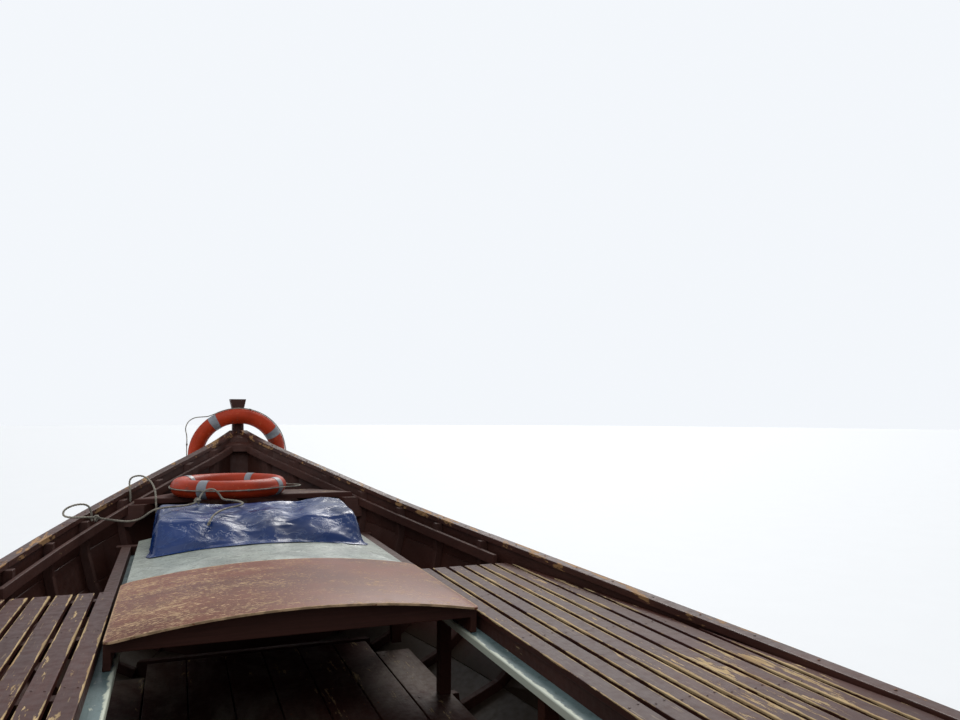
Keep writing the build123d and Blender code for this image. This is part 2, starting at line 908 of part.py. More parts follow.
flat_plane = Plane(origin=(flat_ring_x, flat_ring_y, thwart_top_z + ring_tube + seam))
with BuildPart() as lifebuoy_flat:
    add(ring(flat_plane))
finish(lifebuoy_flat.part, "lifebuoy_flat")

lean = math.radians(hung_ring_lean)
hung_plane = Plane(
    origin=(0, hung_ring_y, hung_ring_z), x_dir=(1, 0, 0), z_dir=(0, math.cos(lean), math.sin(lean))
)
with BuildPart() as lifebuoy_hung:
    add(ring(hung_plane))
finish(lifebuoy_hung.part, "lifebuoy_hung")

# Tarpaulin bundle on the arched sheet
bundle_gap = 0.5
bundle_ys = [bundle_aft, bundle_aft + 190, bundle_fore]
with BuildPart() as tarp_bundle:
    with BuildSketch(Plane.YZ):
        with BuildLine():
            Polyline(
                (bundle_aft, sheet_edge_z - 20),
                (bundle_aft, sheet_edge_z + cover_rise + 18),
                (bundle_aft + 170, bundle_top_z - 34),
                (bundle_fore - 60, bundle_top_z),
                (bundle_fore, bundle_top_z - 40),
                (bundle_fore, sheet_edge_z - 20),
                close=True,
            )
        make_face()
    extrude(amount=bundle_half, both=True)
    chamfer(tarp_bundle.edges().filter_by(Axis.Y), 30)
    add(hoop(bundle_fore + 5, sheet_half, sheet_edge_z + bundle_gap, 200, bundle_fore - bundle_aft + 10),
        mode=Mode.SUBTRACT)
finish(tarp_bundle.part, "tarp_bundle")

# Engine, a plain block at its real place, on two bearers across the floor timbers
bed_low_z = sole_z - sole_thick
with BuildPart() as engine_bed:
    for side in (-1, 1):
        middle = side * (engine_wide / 2 - bed_wide / 2)
        add(level_box(middle - bed_wide / 2, middle + bed_wide / 2, box_aft + box_wall + 4,
                      box_fore - box_wall - 4, bed_low_z, bed_low_z + bed_high))
finish(engine_bed.part, "engine_bed")

with BuildPart() as engine:
    add(level_box(-engine_wide / 2, engine_wide / 2, engine_y - engine_long / 2, engine_y + engine_long / 2,
                  bed_low_z + bed_high, bed_low_z + bed_high + engine_high))
    chamfer(engine.edges().group_by(Axis.Z)[-1], 40)
finish(engine.part, "engine")

with BuildPart() as engine_box:
    add(level_box(-box_half, box_half, box_aft, box_fore, bed_low_z, box_top_z))
    add(level_box(-box_half + box_wall, box_half - box_wall, box_aft + box_wall, box_fore - box_wall,
                  bed_low_z - 1, box_top_z + 1), mode=Mode.SUBTRACT)
finish(engine_box.part, "engine_box")

# Lid with a lip all round, hinged at its fore edge
lid_low_z = box_top_z + seam
lid_fore = box_fore + lid_over
hinge_y = lid_fore + hinge_r + 1
hinge_z = lid_low_z + lid_thick / 2
with BuildPart() as engine_lid:
    add(level_box(-box_half - lid_over, box_half + lid_over, box_aft - lid_over, lid_fore,
                  lid_low_z, lid_low_z + lid_thick))
    chamfer(engine_lid.edges().group_by(Axis.Z)[-1], 5)
finish(engine_lid.part, "engine_lid")


def round_along_x(x0, x1, radius, y, z):
    """Round bar along X between two places."""
    with BuildSketch(Plane(origin=(x0, y, z), x_dir=(0, 1, 0), z_dir=(1, 0, 0))) as end:
        Circle(radius)
    return extrude(end.sketch, amount=x1 - x0, mode=Mode.PRIVATE)


knuckle = hinge_long / 3
knuckle_gap = 0.5
strap_thick = 4
with BuildPart() as lid_straps:
    for x in hinge_xs:
        low, high = x - knuckle / 2 + knuckle_gap, x + knuckle / 2 - knuckle_gap
        add(round_along_x(low, high, hinge_r, hinge_y, hinge_z))
        add(level_box(low, high, lid_fore - 150, hinge_y, lid_low_z + lid_thick + seam,
                      lid_low_z + lid_thick + seam + strap_thick))
        add(level_box(low, high, lid_fore + seam, hinge_y, hinge_z, lid_low_z + lid_thick + seam + strap_thick))
        add(round_along_x(low - 1, high + 1, hinge_pin_r + 0.05, hinge_y, hinge_z), mode=Mode.SUBTRACT)
finish(lid_straps.part, "lid_straps")

with BuildPart() as box_hinges:
    for x in hinge_xs:
        add(round_along_x(x - hinge_long / 2, x + hinge_long / 2, hinge_pin_r, hinge_y, hinge_z))
        for side in (-1, 1):
            low, high = sorted((x + side * knuckle / 2, x + side * hinge_long / 2))
            add(round_along_x(low, high, hinge_r, hinge_y, hinge_z))
            add(level_box(low, high, lid_fore + 1, lid_fore + 1 + strap_thick, box_top_z - 60, hinge_z))
            add(level_box(low, high, box_fore + seam, lid_fore + 1 + strap_thick, box_top_z - 60, box_top_z - 20))
finish(box_hinges.part, "box_hinges")

# Stern tube through the after end of the keel, propeller and its shaft
with BuildPart() as stern_tube:
    with BuildSketch(hub_plane.offset(tube_aft)):
        Circle(tube_r)
        Circle(shaft_r + shaft_play, mode=Mode.SUBTRACT)
    extrude(amount=tube_fore - tube_aft)
finish(stern_tube.part, "stern_tube")

with BuildPart() as propeller_shaft:
    with BuildSketch(hub_plane.offset(hub_long / 2 + seam)):
        Circle(shaft_r)
    extrude(amount=tube_fore - hub_long / 2 - 20)
finish(propeller_shaft.part, "propeller_shaft")

# Blade sections: distance from the shaft's middle, half chord, half thickness, turn from the shaft's line
blade_sections = [(24, 26, 4.5, 32), (62, 41, 4.2, 44), (98, 50, 3.6, 54), (134, 44, 2.9, 60),
                  (blade_r, 22, 2.2, 64)]


def blade_ring(turn, distance, half_chord, half_thick, pitch):
    """Outline across a blade, its chord turned from the shaft's line by the pitch."""
    radial = hub_plane.x_dir * math.cos(turn) + hub_plane.y_dir * math.sin(turn)
    around = shaft_dir.cross(radial)
    pitch = math.radians(pitch)
    chord = shaft_dir * math.cos(pitch) + around * math.sin(pitch)
    across_chord = radial.cross(chord)
    outline = [(-1, 0), (-0.33, 1), (0.5, 0.5), (1, 0), (0.5, -1), (-0.33, -1)]
    return [
        shaft_line(0) + radial * distance + chord * (a * half_chord) + across_chord * (b * half_thick)
        for a, b in outline
    ]


with BuildPart() as propeller:
    with BuildSketch(hub_plane.offset(-hub_long / 2)):
        Circle(hub_r)
    extrude(amount=hub_long)
    chamfer(propeller.edges().filter_by(GeomType.CIRCLE).sort_by(Axis.Y)[0], 12)
    for i in range(blade_count):
        turn = i * 2 * math.pi / blade_count
        add(flat_faced([blade_ring(turn, *section) for section in blade_sections]))
finish(propeller.part, "propeller")

# Rudder: its blade follows the slanted axis, cut back round each gudgeon
rudder_top_z = tiller_z - 34 - seam
rudder_foot_z = keel_z(-4450) + 8
shoulder_z = 260
head_chord = 190
with BuildPart() as rudder:
    with BuildSketch(Plane.YZ):
        with BuildLine():
            Polyline(
                (axis_y(rudder_foot_z) - rudder_gap, rudder_foot_z),
                (axis_y(rudder_top_z) - rudder_gap, rudder_top_z),
                (axis_y(rudder_top_z) - rudder_gap - head_chord, rudder_top_z),
                (axis_y(shoulder_z) - rudder_gap - head_chord - 20, shoulder_z),
                (axis_y(0) - rudder_gap - rudder_chord + 40, 0),
                (axis_y(rudder_foot_z) - rudder_gap - rudder_chord, rudder_foot_z + 60),
                (axis_y(rudder_foot_z) - rudder_gap - rudder_chord + 60, rudder_foot_z),
                close=True,
            )
        make_face()
    extrude(amount=rudder_thick / 2, both=True)
finish(rudder.part, "rudder")


def hinge_plane(z):
    """Plane square to the rudder's axis at the height z, its own Y pointing forward."""
    return Plane(origin=axis_point(z), x_dir=(1, 0, 0), z_dir=axis_dir)


gudgeon_reach = post_gap * axis_dir.Z - seam
pintle_reach = rudder_gap * axis_dir.Z - seam
gudgeon_play = 0.05
with BuildPart() as gudgeons:
    for z in gudgeon_zs:
        with BuildSketch(hinge_plane(z)):
            Circle(gudgeon_r)
            with Locations((0, gudgeon_reach / 2)):
                Rectangle(2 * gudgeon_r, gudgeon_reach)
            Circle(pintle_r + gudgeon_play, mode=Mode.SUBTRACT)
        extrude(amount=gudgeon_high)
finish(gudgeons.part, "gudgeons")

# Pintles hang on the rudder above each gudgeon, and one at its foot stands in the heel iron
pintle_arm = 24
with BuildPart() as pintles:
    for z in gudgeon_zs:
        with BuildSketch(hinge_plane(z).offset(gudgeon_high + 1)):
            Circle(gudgeon_r - 2)
            with Locations((0, -pintle_reach / 2)):
                Rectangle(rudder_thick, pintle_reach)
        extrude(amount=pintle_arm)
        with BuildSketch(hinge_plane(z).offset(-6)):
            Circle(pintle_r)
        extrude(amount=gudgeon_high + 8)
    foot = hinge_plane(rudder_foot_z + 6)
    with BuildSketch(foot):
        Circle(pintle_r + 6)
        with Locations((0, -pintle_reach / 2)):
            Rectangle(2 * pintle_r, pintle_reach)
    extrude(amount=40)
    with BuildSketch(foot):
        Circle(pintle_r)
    extrude(amount=-(6 + 8 + heel_iron_thick))
finish(pintles.part, "pintles")

# Tiller over the rudder head
tiller_fore_y = axis_y(tiller_z) + tiller_reach
tiller_aft_y = axis_y(tiller_z) - rudder_gap - head_chord + 20
with BuildPart() as tiller:
    for y, wide, high, lift in (
        (tiller_aft_y, 58, 58, 0), (axis_y(tiller_z), 54, 54, 6), (tiller_fore_y, 30, 30, 105)
    ):
        with BuildSketch(Plane(origin=(0, y, tiller_z - 5 + lift), x_dir=(1, 0, 0), z_dir=(0, -1, 0))):
            Rectangle(wide, high)
    loft(ruled=True)
    chamfer(tiller.edges().filter_by(lambda e: e.length > 200), 7)
finish(tiller.part, "tiller")

# Mooring eyes on the stem and the sternpost
eye_hole_r = 16
eye_bar_r = 8
stem_eye_z = 640
post_eye_z = post_top_z + 0


def eye(y, z, forward):
    """Eye plate standing out of a post, with its hole across the boat."""
    with BuildSketch(Plane(origin=(0, y, z), x_dir=(0, forward, 0), z_dir=(forward, 0, 0))) as plate:
        with Locations((eye_hole_r + eye_bar_r + 6, 0)):
            Circle(eye_hole_r + eye_bar_r)
        with Locations((10, 0)):
            Rectangle(28, 34)
        with Locations((eye_hole_r + eye_bar_r + 6, 0)):
            Circle(eye_hole_r, mode=Mode.SUBTRACT)
    return extrude(plate.sketch, amount=eye_bar_r, both=True, mode=Mode.PRIVATE)


with BuildPart() as mooring_eye:
    add(eye(stem_y(stem_eye_z), stem_eye_z, 1))
    extrude(side_view.sketch, amount=200, both=True, mode=Mode.SUBTRACT)
finish(mooring_eye.part, "mooring_eye")

# Thole pins through the cap rails, each with a shoulder for the rope ring that holds an oar
thole_r = 12
thole_high = 110
thole_sunk = 15
thole_ys = [-880, -770]
shoulder_r = 17
shoulder_high = 12
with BuildPart() as thole_pins:
    for y in thole_ys:
        at = Station(u_at_y(y, 560))
        cap_top_z = at.sheer_z + cap_thick
        pin_x = at.inner[0][0] + 10
        with BuildSketch(Plane.XY.offset(cap_top_z - thole_sunk)):
            with Locations((pin_x, y)):
                RegularPolygon(shoulder_r, 12)
        extrude(amount=thole_sunk + shoulder_high)
        with BuildSketch(Plane.XY.offset(cap_top_z + shoulder_high)):
            with Locations((pin_x, y)):
                Circle(thole_r)
        extrude(amount=thole_high)
finish_both(thole_pins.part, "thole_pins")

# Ropes and lines. Each lies along points joined by straight runs and arcs.
rope_r = 6
line_r = 4
cord_sides = 6


def corner_radii(points):
    """Largest arc that the two runs at each corner leave room for."""
    radii = []
    for a, b, c in zip(points, points[1:], points[2:]):
        one, two = Vector(*b) - Vector(*a), Vector(*c) - Vector(*b)
        half_turn = math.radians(one.get_angle(two)) / 2
        radii.append(0.45 * min(one.length, two.length) / math.tan(half_turn))
    return radii


def cord(points, radius, name, close=False):
    corners = [points[-1], *points, points[0]] if close else points
    radii = corner_radii(corners)
    with BuildPart() as tube:
        with BuildLine() as route:
            FilletPolyline(*points, radius=radii, close=close)
        with BuildSketch(Plane(origin=route.wire() @ 0, z_dir=route.wire() % 0)):
            RegularPolygon(radius, cord_sides)
        sweep(path=route.wire())
    length = route.wire().length
    share = tube.part.volume / (length * 1.5 * math.sqrt(3) * radius**2)
    print(name, "length", round(length), "volume share", round(share, 3), "radii", [round(r) for r in radii])
    finish(tube.part, name)


# Rope from behind the port inwale over the rail, on to the tarpaulin and back on itself
tarp_rope_points = [
    (-853, 3300, 602), (-854, 3300, 652), (-874, 3284, 696), (-928, 3256, 702), (-980, 3208, 682),
    (-978, 3148, 652), (-916, 3122, 646), (-850, 3140, 645), (-783, 3176, 627), (-716, 3178, 613),
    (-652, 3144, 610), (-592, 3098, 630), (-541, 3050, 679), (-478, 3040, 692), (-404, 3092, 688),
    (-346, 3130, 690), (-306, 3164, 704), (-292, 3188, 738), (-266, 3196, 764), (-226, 3196, 768),
    (-196, 3196, 740), (-176, 3202, 704), (-128, 3214, 698), (-80, 3190, 692), (-62, 3130, 686),
    (-96, 3062, 681), (-150, 3024, 678), (-194, 2958, 673), (-222, 2884, 670), (-246, 2814, 660), (-268, 2750, 626),
]
cord(tarp_rope_points, rope_r, "tarp_rope")

# Short rope hitched behind the port inwale, over the rail and down inside
gunwale_rope_points = [
    (-678, 3646, 664), (-679, 3648, 722), (-690, 3668, 780), (-676, 3718, 806), (-622, 3742, 812),
    (-572, 3720, 780), (-546, 3668, 738), (-538, 3612, 708), (-534, 3574, 664), (-530, 3566, 600),
]
cord(gunwale_rope_points, rope_r, "gunwale_rope")


def grab_line(plane, loop_start, loop_end, bow, name):
    """Line held round a lifebuoy, with one slack loop between two turns in degrees."""
    hug_r = ring_major + ring_tube + line_r + 5.3
    steps = 20
    points = []
    for i in range(steps):
        turn = 360 * i / steps
        if not loop_start < turn < loop_end:
            points.append(ring_point(plane, math.radians(turn), hug_r))
    loop = [
        ring_point(plane, math.radians(loop_start + (loop_end - loop_start) * share), hug_r + bow * out)
        for share, out in ((0.12, 0.35), (0.3, 0.9), (0.5, 1.1), (0.7, 0.9), (0.88, 0.35))
    ]
    before = sum(1 for i in range(steps) if 360 * i / steps <= loop_start)
    cord(points[:before] + loop + points[before:], line_r, name, close=True)


# The planes' turns run from starboard towards port, over the bow side of the flat ring and the foot of the hung one
grab_line(flat_plane, 325, 359, 80, "grab_line_flat")
grab_line(hung_plane, 197, 233, 70, "grab_line_hung")
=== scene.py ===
import math

import bmesh
import bpy
from mathutils import Matrix, Vector, noise


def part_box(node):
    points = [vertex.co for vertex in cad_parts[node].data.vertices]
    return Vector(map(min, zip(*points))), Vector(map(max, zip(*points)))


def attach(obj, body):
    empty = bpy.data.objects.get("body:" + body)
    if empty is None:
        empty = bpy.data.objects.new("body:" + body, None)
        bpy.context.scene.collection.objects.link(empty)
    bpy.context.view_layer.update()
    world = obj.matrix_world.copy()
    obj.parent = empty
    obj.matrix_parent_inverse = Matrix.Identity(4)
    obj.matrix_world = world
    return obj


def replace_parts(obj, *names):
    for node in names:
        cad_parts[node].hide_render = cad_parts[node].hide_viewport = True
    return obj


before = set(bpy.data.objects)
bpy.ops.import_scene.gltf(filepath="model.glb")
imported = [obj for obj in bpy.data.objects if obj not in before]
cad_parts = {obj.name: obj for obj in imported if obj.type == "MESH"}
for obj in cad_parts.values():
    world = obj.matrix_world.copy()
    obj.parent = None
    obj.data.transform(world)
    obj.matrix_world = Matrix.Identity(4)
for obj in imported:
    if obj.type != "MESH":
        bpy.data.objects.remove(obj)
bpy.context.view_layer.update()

bl_info = {
    "name": "Passenger boat dressing",
    "version": (1, 0, 0),
    "blender": (4, 5, 0),
    "location": "3D View > Sidebar > Boat",
    "description": "Ropes, lifebuoys, tarpaulin, sheet, fastenings and worn finishes of an open wooden boat",
    "category": "Object",
}

# Places shared with the boat's solids, in metres. Y points to the bow.
RING_MAJOR = 0.294
RING_TUBE = 0.056
RING_LEAN = math.radians(15)
FLAT_RING = Matrix.Translation((-0.110, 3.690, 0.7383))
HUNG_RING = Matrix(
    (
        (1, 0, 0, 0),
        (0, math.sin(RING_LEAN), math.cos(RING_LEAN), 4.6472),
        (0, -math.cos(RING_LEAN), math.sin(RING_LEAN), 0.883),
        (0, 0, 0, 1),
    )
)

# How far the middle of a grab line lies from the middle of its lifebuoy.
LINE_HUG = RING_MAJOR + RING_TUBE + 0.004 + 0.0053

TARP_ROPE = [
    (-0.853, 3.300, 0.602), (-0.854, 3.300, 0.652), (-0.874, 3.284, 0.696), (-0.928, 3.256, 0.702),
    (-0.980, 3.208, 0.682), (-0.978, 3.148, 0.652), (-0.916, 3.122, 0.646), (-0.850, 3.140, 0.645),
    (-0.783, 3.176, 0.627), (-0.716, 3.178, 0.613), (-0.652, 3.144, 0.610), (-0.592, 3.098, 0.630),
    (-0.541, 3.050, 0.679), (-0.478, 3.040, 0.692), (-0.404, 3.092, 0.688), (-0.346, 3.130, 0.690),
    (-0.306, 3.164, 0.704), (-0.292, 3.188, 0.738), (-0.266, 3.196, 0.764), (-0.226, 3.196, 0.768),
    (-0.196, 3.196, 0.740), (-0.176, 3.202, 0.704), (-0.128, 3.214, 0.698), (-0.080, 3.190, 0.692),
    (-0.062, 3.130, 0.686), (-0.096, 3.062, 0.681), (-0.150, 3.024, 0.678), (-0.194, 2.958, 0.673),
    (-0.222, 2.884, 0.670), (-0.246, 2.814, 0.660), (-0.268, 2.750, 0.626),
]
GUNWALE_ROPE = [
    (-0.678, 3.646, 0.664), (-0.679, 3.648, 0.722), (-0.690, 3.668, 0.780), (-0.676, 3.718, 0.806),
    (-0.622, 3.742, 0.812), (-0.572, 3.720, 0.780), (-0.546, 3.668, 0.738), (-0.538, 3.612, 0.708),
    (-0.534, 3.574, 0.664), (-0.530, 3.566, 0.600),
]

# The photograph's view: a camera over the port bench, its focal length in pixels of the frame's width.
EYE = (-0.429, -1.5, 1.2235)
EYE_RIGHT = (0.9319, -0.3626, 0.0040)
EYE_UP = (-0.0268, -0.0579, 0.9980)
EYE_AHEAD = (0.3616, 0.9301, 0.0637)
FOCAL_PIXELS, FRAME_PIXELS, SENSOR_MM, VIEW_DEPTH = 776, 960, 36, 200

# Edges of the cover and of the grey sheet, with the sheet's hoops and its arch.
COVER_AFT, COVER_FORE, COVER_HALF = 1.195, 2.075, 0.627
SHEET_AFT, SHEET_FORE, SHEET_HALF = 2.041, 3.299, 0.611
SHEET_HOOPS = (2.160, 2.700, 3.280)
ARCH_HALF, ARCH_RISE, ARCH_EDGE = 0.612, 0.060, 0.479

# The folded tarpaulin: its ends, its half width, its top's height along the boat, and where it falls from.
BUNDLE_AFT, BUNDLE_FORE, BUNDLE_HALF = 2.66, 3.30, 0.53
BUNDLE_TOPS = ((2.660, 0.557), (2.830, 0.650), (3.240, 0.684), (3.300, 0.644))
TARP_MIDDLE = (0, 3.000, 0.712)

# How far out its sides hang, and the ground that it falls on: its corner, size and level beside the sheet.
TARP_HALF = 0.540
CORE_CORNER, CORE_SIZE, BESIDE_SHEET = (-0.66, 2.56), (1.32, 0.80), 0.42

# Fastenings: rows along the boat, and how they stand across it.
SIDES = (("starboard", 1), ("port", -1))
SLATS, SLAT_LEVEL, SCREW_SHIFT = 9, 0.46, 0.017
SLAT_ROWS = (-2.35, -1.70, -1.05, -0.40, 0.25, 0.90, 1.48, 2.04)
SOLE_BOARDS, SOLE_EDGE, SOLE_PITCH, BOARD_HALF, NAIL_SHIFT = 8, -0.709, 0.178, 0.086, 0.06
SOLE_ROWS = (-1.75, -1.05, -0.35, 0.35, 1.05, 1.75, 2.35)
RAIL_NAILS, RAIL_PITCH, RAIL_START = range(-17, 18), 0.25, 0.07

# Rounds on the slats' edges, on the cover's edge and along the planks' seams.
SLAT_EASE, COVER_EASE, SEAM_EASE = 0.0022, 0.002, 0.0048

# Where the knots are along the tarpaulin's rope, their size, and how far a whipping is from a rope's end.
TARP_KNOTS = (0.455, 1.068)
KNOT_SIZE, WHIPPING_BACK = 0.017, 0.022


# Small helpers

def take(piece):
    """Make a piece the only one selected, and active."""
    bpy.ops.object.select_all(action="DESELECT")
    piece.select_set(True)
    bpy.context.view_layer.objects.active = piece


def edit_all():
    """Enter edit mode on the active piece, with all of its mesh selected."""
    bpy.ops.object.mode_set(mode="EDIT")
    bpy.ops.mesh.select_all(action="SELECT")


def edit_done():
    bpy.ops.object.mode_set(mode="OBJECT")


def link(item):
    bpy.context.scene.collection.objects.link(item)
    return item


def set_all(target, **values):
    """Set several values of one thing."""
    for key, value in values.items():
        setattr(target, key, value)
    return target


def new_piece(name):
    """Name the primitive that was just added."""
    piece = bpy.context.active_object
    piece.name = piece.data.name = name
    return piece


def pick_faces(piece, chooser):
    """In edit mode, select only the faces that the chooser accepts."""
    mesh = bmesh.from_edit_mesh(piece.data)
    for part in [*mesh.faces, *mesh.edges, *mesh.verts]:
        part.select = False
    for face in mesh.faces:
        if chooser(face.calc_center_median()):
            face.select = True
    mesh.select_flush(True)
    bmesh.update_edit_mesh(piece.data)


def settle(piece, matrix=Matrix.Identity(4)):
    """Put a piece's place into its mesh, so that its object stands at the origin."""
    piece.data.transform(matrix @ piece.matrix_world)
    piece.matrix_world = Matrix.Identity(4)


def apply_modifier(piece, kind, **settings):
    take(piece)
    modifier = set_all(piece.modifiers.new(kind.title(), kind), **settings)
    bpy.ops.object.modifier_apply(modifier=modifier.name)


def smooth(piece, degrees):
    take(piece)
    bpy.ops.object.shade_smooth_by_angle(angle=math.radians(degrees))
    return piece


def finished(piece, material):
    """Give a piece its material and its slot, and let it ride on the boat."""
    piece.data.materials.clear()
    piece.data.materials.append(material)
    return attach(piece, "boat")


def joined(pieces, name):
    take(pieces[0])
    for piece in pieces:
        piece.select_set(True)
    if len(pieces) > 1:
        bpy.ops.object.join()
    return new_piece(name)


def copies(model, places, name):
    """Copies of a small model at each place, each with its own mesh, joined into one piece."""
    made = []
    for place in places:
        again = link(model.copy())
        again.data = model.data.copy()
        again.data.transform(place)
        made.append(again)
    bpy.data.objects.remove(model)
    return joined(made, name)


def mesh_piece(name, points, faces):
    mesh = bpy.data.meshes.new(name)
    mesh.from_pydata([tuple(p) for p in points], [], faces)
    mesh.update()
    return link(bpy.data.objects.new(name, mesh))


def facing(position, direction, turn=0.0):
    """Matrix that takes a model's own Z to a direction at a position."""
    return (
        Matrix.Translation(position)
        @ Vector(direction).to_track_quat("Z", "Y").to_matrix().to_4x4()
        @ Matrix.Rotation(turn, 4, "Z")
    )


def cast(node, start, direction):
    """First point on a solid of the boat along a line, or None."""
    hit, place, _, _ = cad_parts[node].ray_cast(Vector(start), Vector(direction))
    return place if hit else None


def on_top(node, spots, height, lowest):
    """Places on a solid straight below spots (x, y, turn), where it is higher than a level."""
    found = [(cast(node, (x, y, height), (0, 0, -1)), turn) for x, y, turn in spots]
    return [facing(place, (0, 0, 1), turn) for place, turn in found if place and place.z > lowest]


# Materials

class Field:
    """A value that varies over a surface. Sums and products of fields are fields too."""

    def __init__(self, finish, socket):
        self.finish = finish
        self.socket = socket

    def math(self, operation, other=0.0):
        made = self.finish.add("Math", {0: self, 1: other}, operation=operation)
        return Field(self.finish, made.outputs[0])

    def __add__(self, other):
        return self.math("ADD", other)

    def __sub__(self, other):
        return self.math("SUBTRACT", other)

    def __rsub__(self, other):
        return self * -1.0 + other

    def __mul__(self, other):
        return self.math("MULTIPLY", other)

    def __mod__(self, other):
        return self.math("MODULO", other)

    def __abs__(self):
        return self.math("ABSOLUTE")

    def least(self, other):
        return self.math("MINIMUM", other)

    def most(self, other):
        return self.math("MAXIMUM", other)

    def mask(self, low, high, out_low=0.0, out_high=1.0):
        """Smooth change from one value to another as the field goes from low to high."""
        made = self.finish.add("MapRange", {0: self, 1: low, 2: high, 3: out_low, 4: out_high},
                               interpolation_type="SMOOTHSTEP")
        return Field(self.finish, made.outputs[0])

    def mix(self, under, over):
        """One colour where the field is 0, another where it is 1."""
        made = self.finish.add("Mix", data_type="RGBA", clamp_factor=True)
        self.finish.feed(made.inputs[0], self)
        for socket, value in ((made.inputs[6], under), (made.inputs[7], over)):
            self.finish.feed(socket, (*value, 1.0) if isinstance(value, tuple) else value)
        return made.outputs[2]

    def tones(self, colour, dark, light, low=0.3, high=0.7):
        """Two tones of one colour, from dark to light as the field goes from low to high."""
        return self.mask(low, high).mix(shade(colour, dark), shade(colour, light))


class Finish:
    """A material whose pattern follows the boat's own coordinates, built up node by node."""

    def __init__(self, name, **shader):
        self.material = bpy.data.materials.new(name)
        self.material.use_nodes = True
        self.tree = self.material.node_tree
        self.shader = self.tree.nodes["Principled BSDF"]
        for socket, value in shader.items():
            self.shader.inputs[socket.replace("_", " ")].default_value = value
        self.where = self.add("TexCoord").outputs["Object"]
        self.relief = None

    def add(self, kind, inputs=(), **settings):
        made = set_all(self.tree.nodes.new("ShaderNode" + kind), **settings)
        for key, value in dict(inputs).items():
            self.feed(made.inputs[key], value)
        return made

    def feed(self, socket, value):
        value = value.socket if isinstance(value, Field) else value
        if isinstance(value, bpy.types.NodeSocket):
            self.tree.links.new(value, socket)
        else:
            socket.default_value = value

    def texture(self, kind, output, stretch, inputs):
        where = self.add("Mapping", {0: self.where, "Scale": stretch}).outputs[0]
        return Field(self, self.add(kind, {"Vector": where, **inputs}).outputs[output])

    def noise(self, scale, stretch=(1, 1, 1), detail=4.0, roughness=0.55, distortion=0.0):
        return self.texture("TexNoise", 0, stretch, {
            "Scale": scale, "Detail": detail, "Roughness": roughness, "Distortion": distortion})

    def grain(self, along, scale=6, roughness=0.65):
        return self.noise(scale, GRAIN[along], detail=6, roughness=roughness)

    def cells(self, scale, stretch=(1, 1, 1)):
        return self.texture("TexVoronoi", "Distance", stretch, {"Scale": scale})

    def part(self, name, vector=None):
        """One coordinate, X, Y or Z, of the place or of another vector."""
        return Field(self, self.add("SeparateXYZ", {0: vector or self.where}).outputs[name])

    def up(self):
        """How far the surface faces up, from 0 to 1."""
        return self.part("Z", self.add("NewGeometry").outputs["Normal"]).mask(0.2, 0.9)

    def bump(self, height, distance, strength):
        made = self.add("Bump", {"Height": height, "Distance": distance, "Strength": strength})
        if self.relief:
            self.tree.links.new(self.relief, made.inputs["Normal"])
        self.relief = made.outputs[0]

    def coat(self, paint, patches, grain, light, print_share, print_dark):
        """Paint that has faded in patches, with the grain printing through it."""
        faded = patches.tones(paint, 0.72, light)
        return grain.mask(0.42, 0.62, 0, print_share).mix(faded, shade(paint, print_dark))

    def done(self, colour, roughness):
        self.feed(self.shader.inputs["Base Color"], colour)
        self.feed(self.shader.inputs["Roughness"], roughness)
        if self.relief:
            self.tree.links.new(self.relief, self.shader.inputs["Normal"])
        return self.material


def shade(colour, factor):
    return tuple(min(1.0, c * factor) for c in colour)


# How the grain stretches along each direction, and the colours of dirt and age.
GRAIN = {"X": (0.6, 24, 24), "Y": (24, 0.6, 24), "Z": (24, 24, 0.6)}
DUST, WATER_STAIN, WEATHERED = (0.30, 0.26, 0.21), (0.060, 0.052, 0.036), (0.29, 0.17, 0.08)
BUOY_SCUFF, BUOY_GRIME = (0.60, 0.22, 0.10), (0.10, 0.055, 0.04)


def painted_wood(name, paint, bare, along="Y", chips=0.5, gloss=0.42, wet=0.0, dust=0.0, stain=0.0):
    """Old paint over wood: grain that prints through, faded patches, chips, dust, stain at the waterline."""
    made = Finish(name, Specular_IOR_Level=0.16)
    grain = made.grain(along)
    patches = made.noise(1.7, detail=3)
    fine = made.noise(38)
    colour = made.coat(paint, patches, grain, 1.3, 0.45, 0.55)
    chip_field = made.noise(9, tuple(0.35 * g ** 0.5 for g in GRAIN[along]), detail=8, roughness=0.7)
    level = 0.80 - 0.16 * chips
    chipped = (chip_field + fine * 0.12).mask(level, level + 0.035)
    colour = chipped.mix(colour, grain.tones(bare, 0.6, 1, 0.35, 0.65))
    if dust:
        settled = made.noise(2.2, (1, 0.5, 1), detail=9, roughness=0.72, distortion=0.5)
        colour = (made.up() * settled.mask(0.42, 0.70, 0, dust)).mix(colour, DUST)
    if stain:
        ragged = made.noise(5, (1, 0.4, 1), detail=7, roughness=0.65) * 0.14
        colour = (made.part("Z") + ragged).mask(0.06, 0.15, stain, 0.0).mix(colour, WATER_STAIN)
    made.bump(grain, 0.0012, 0.55)
    made.bump(chipped, 0.0006, -0.8)
    if wet:
        made.shader.inputs["Coat Weight"].default_value = wet
        made.shader.inputs["Coat Roughness"].default_value = 0.22
    return made.done(colour, (chipped * 0.5 + fine).mask(0.2, 1.1, gloss, gloss + 0.38))


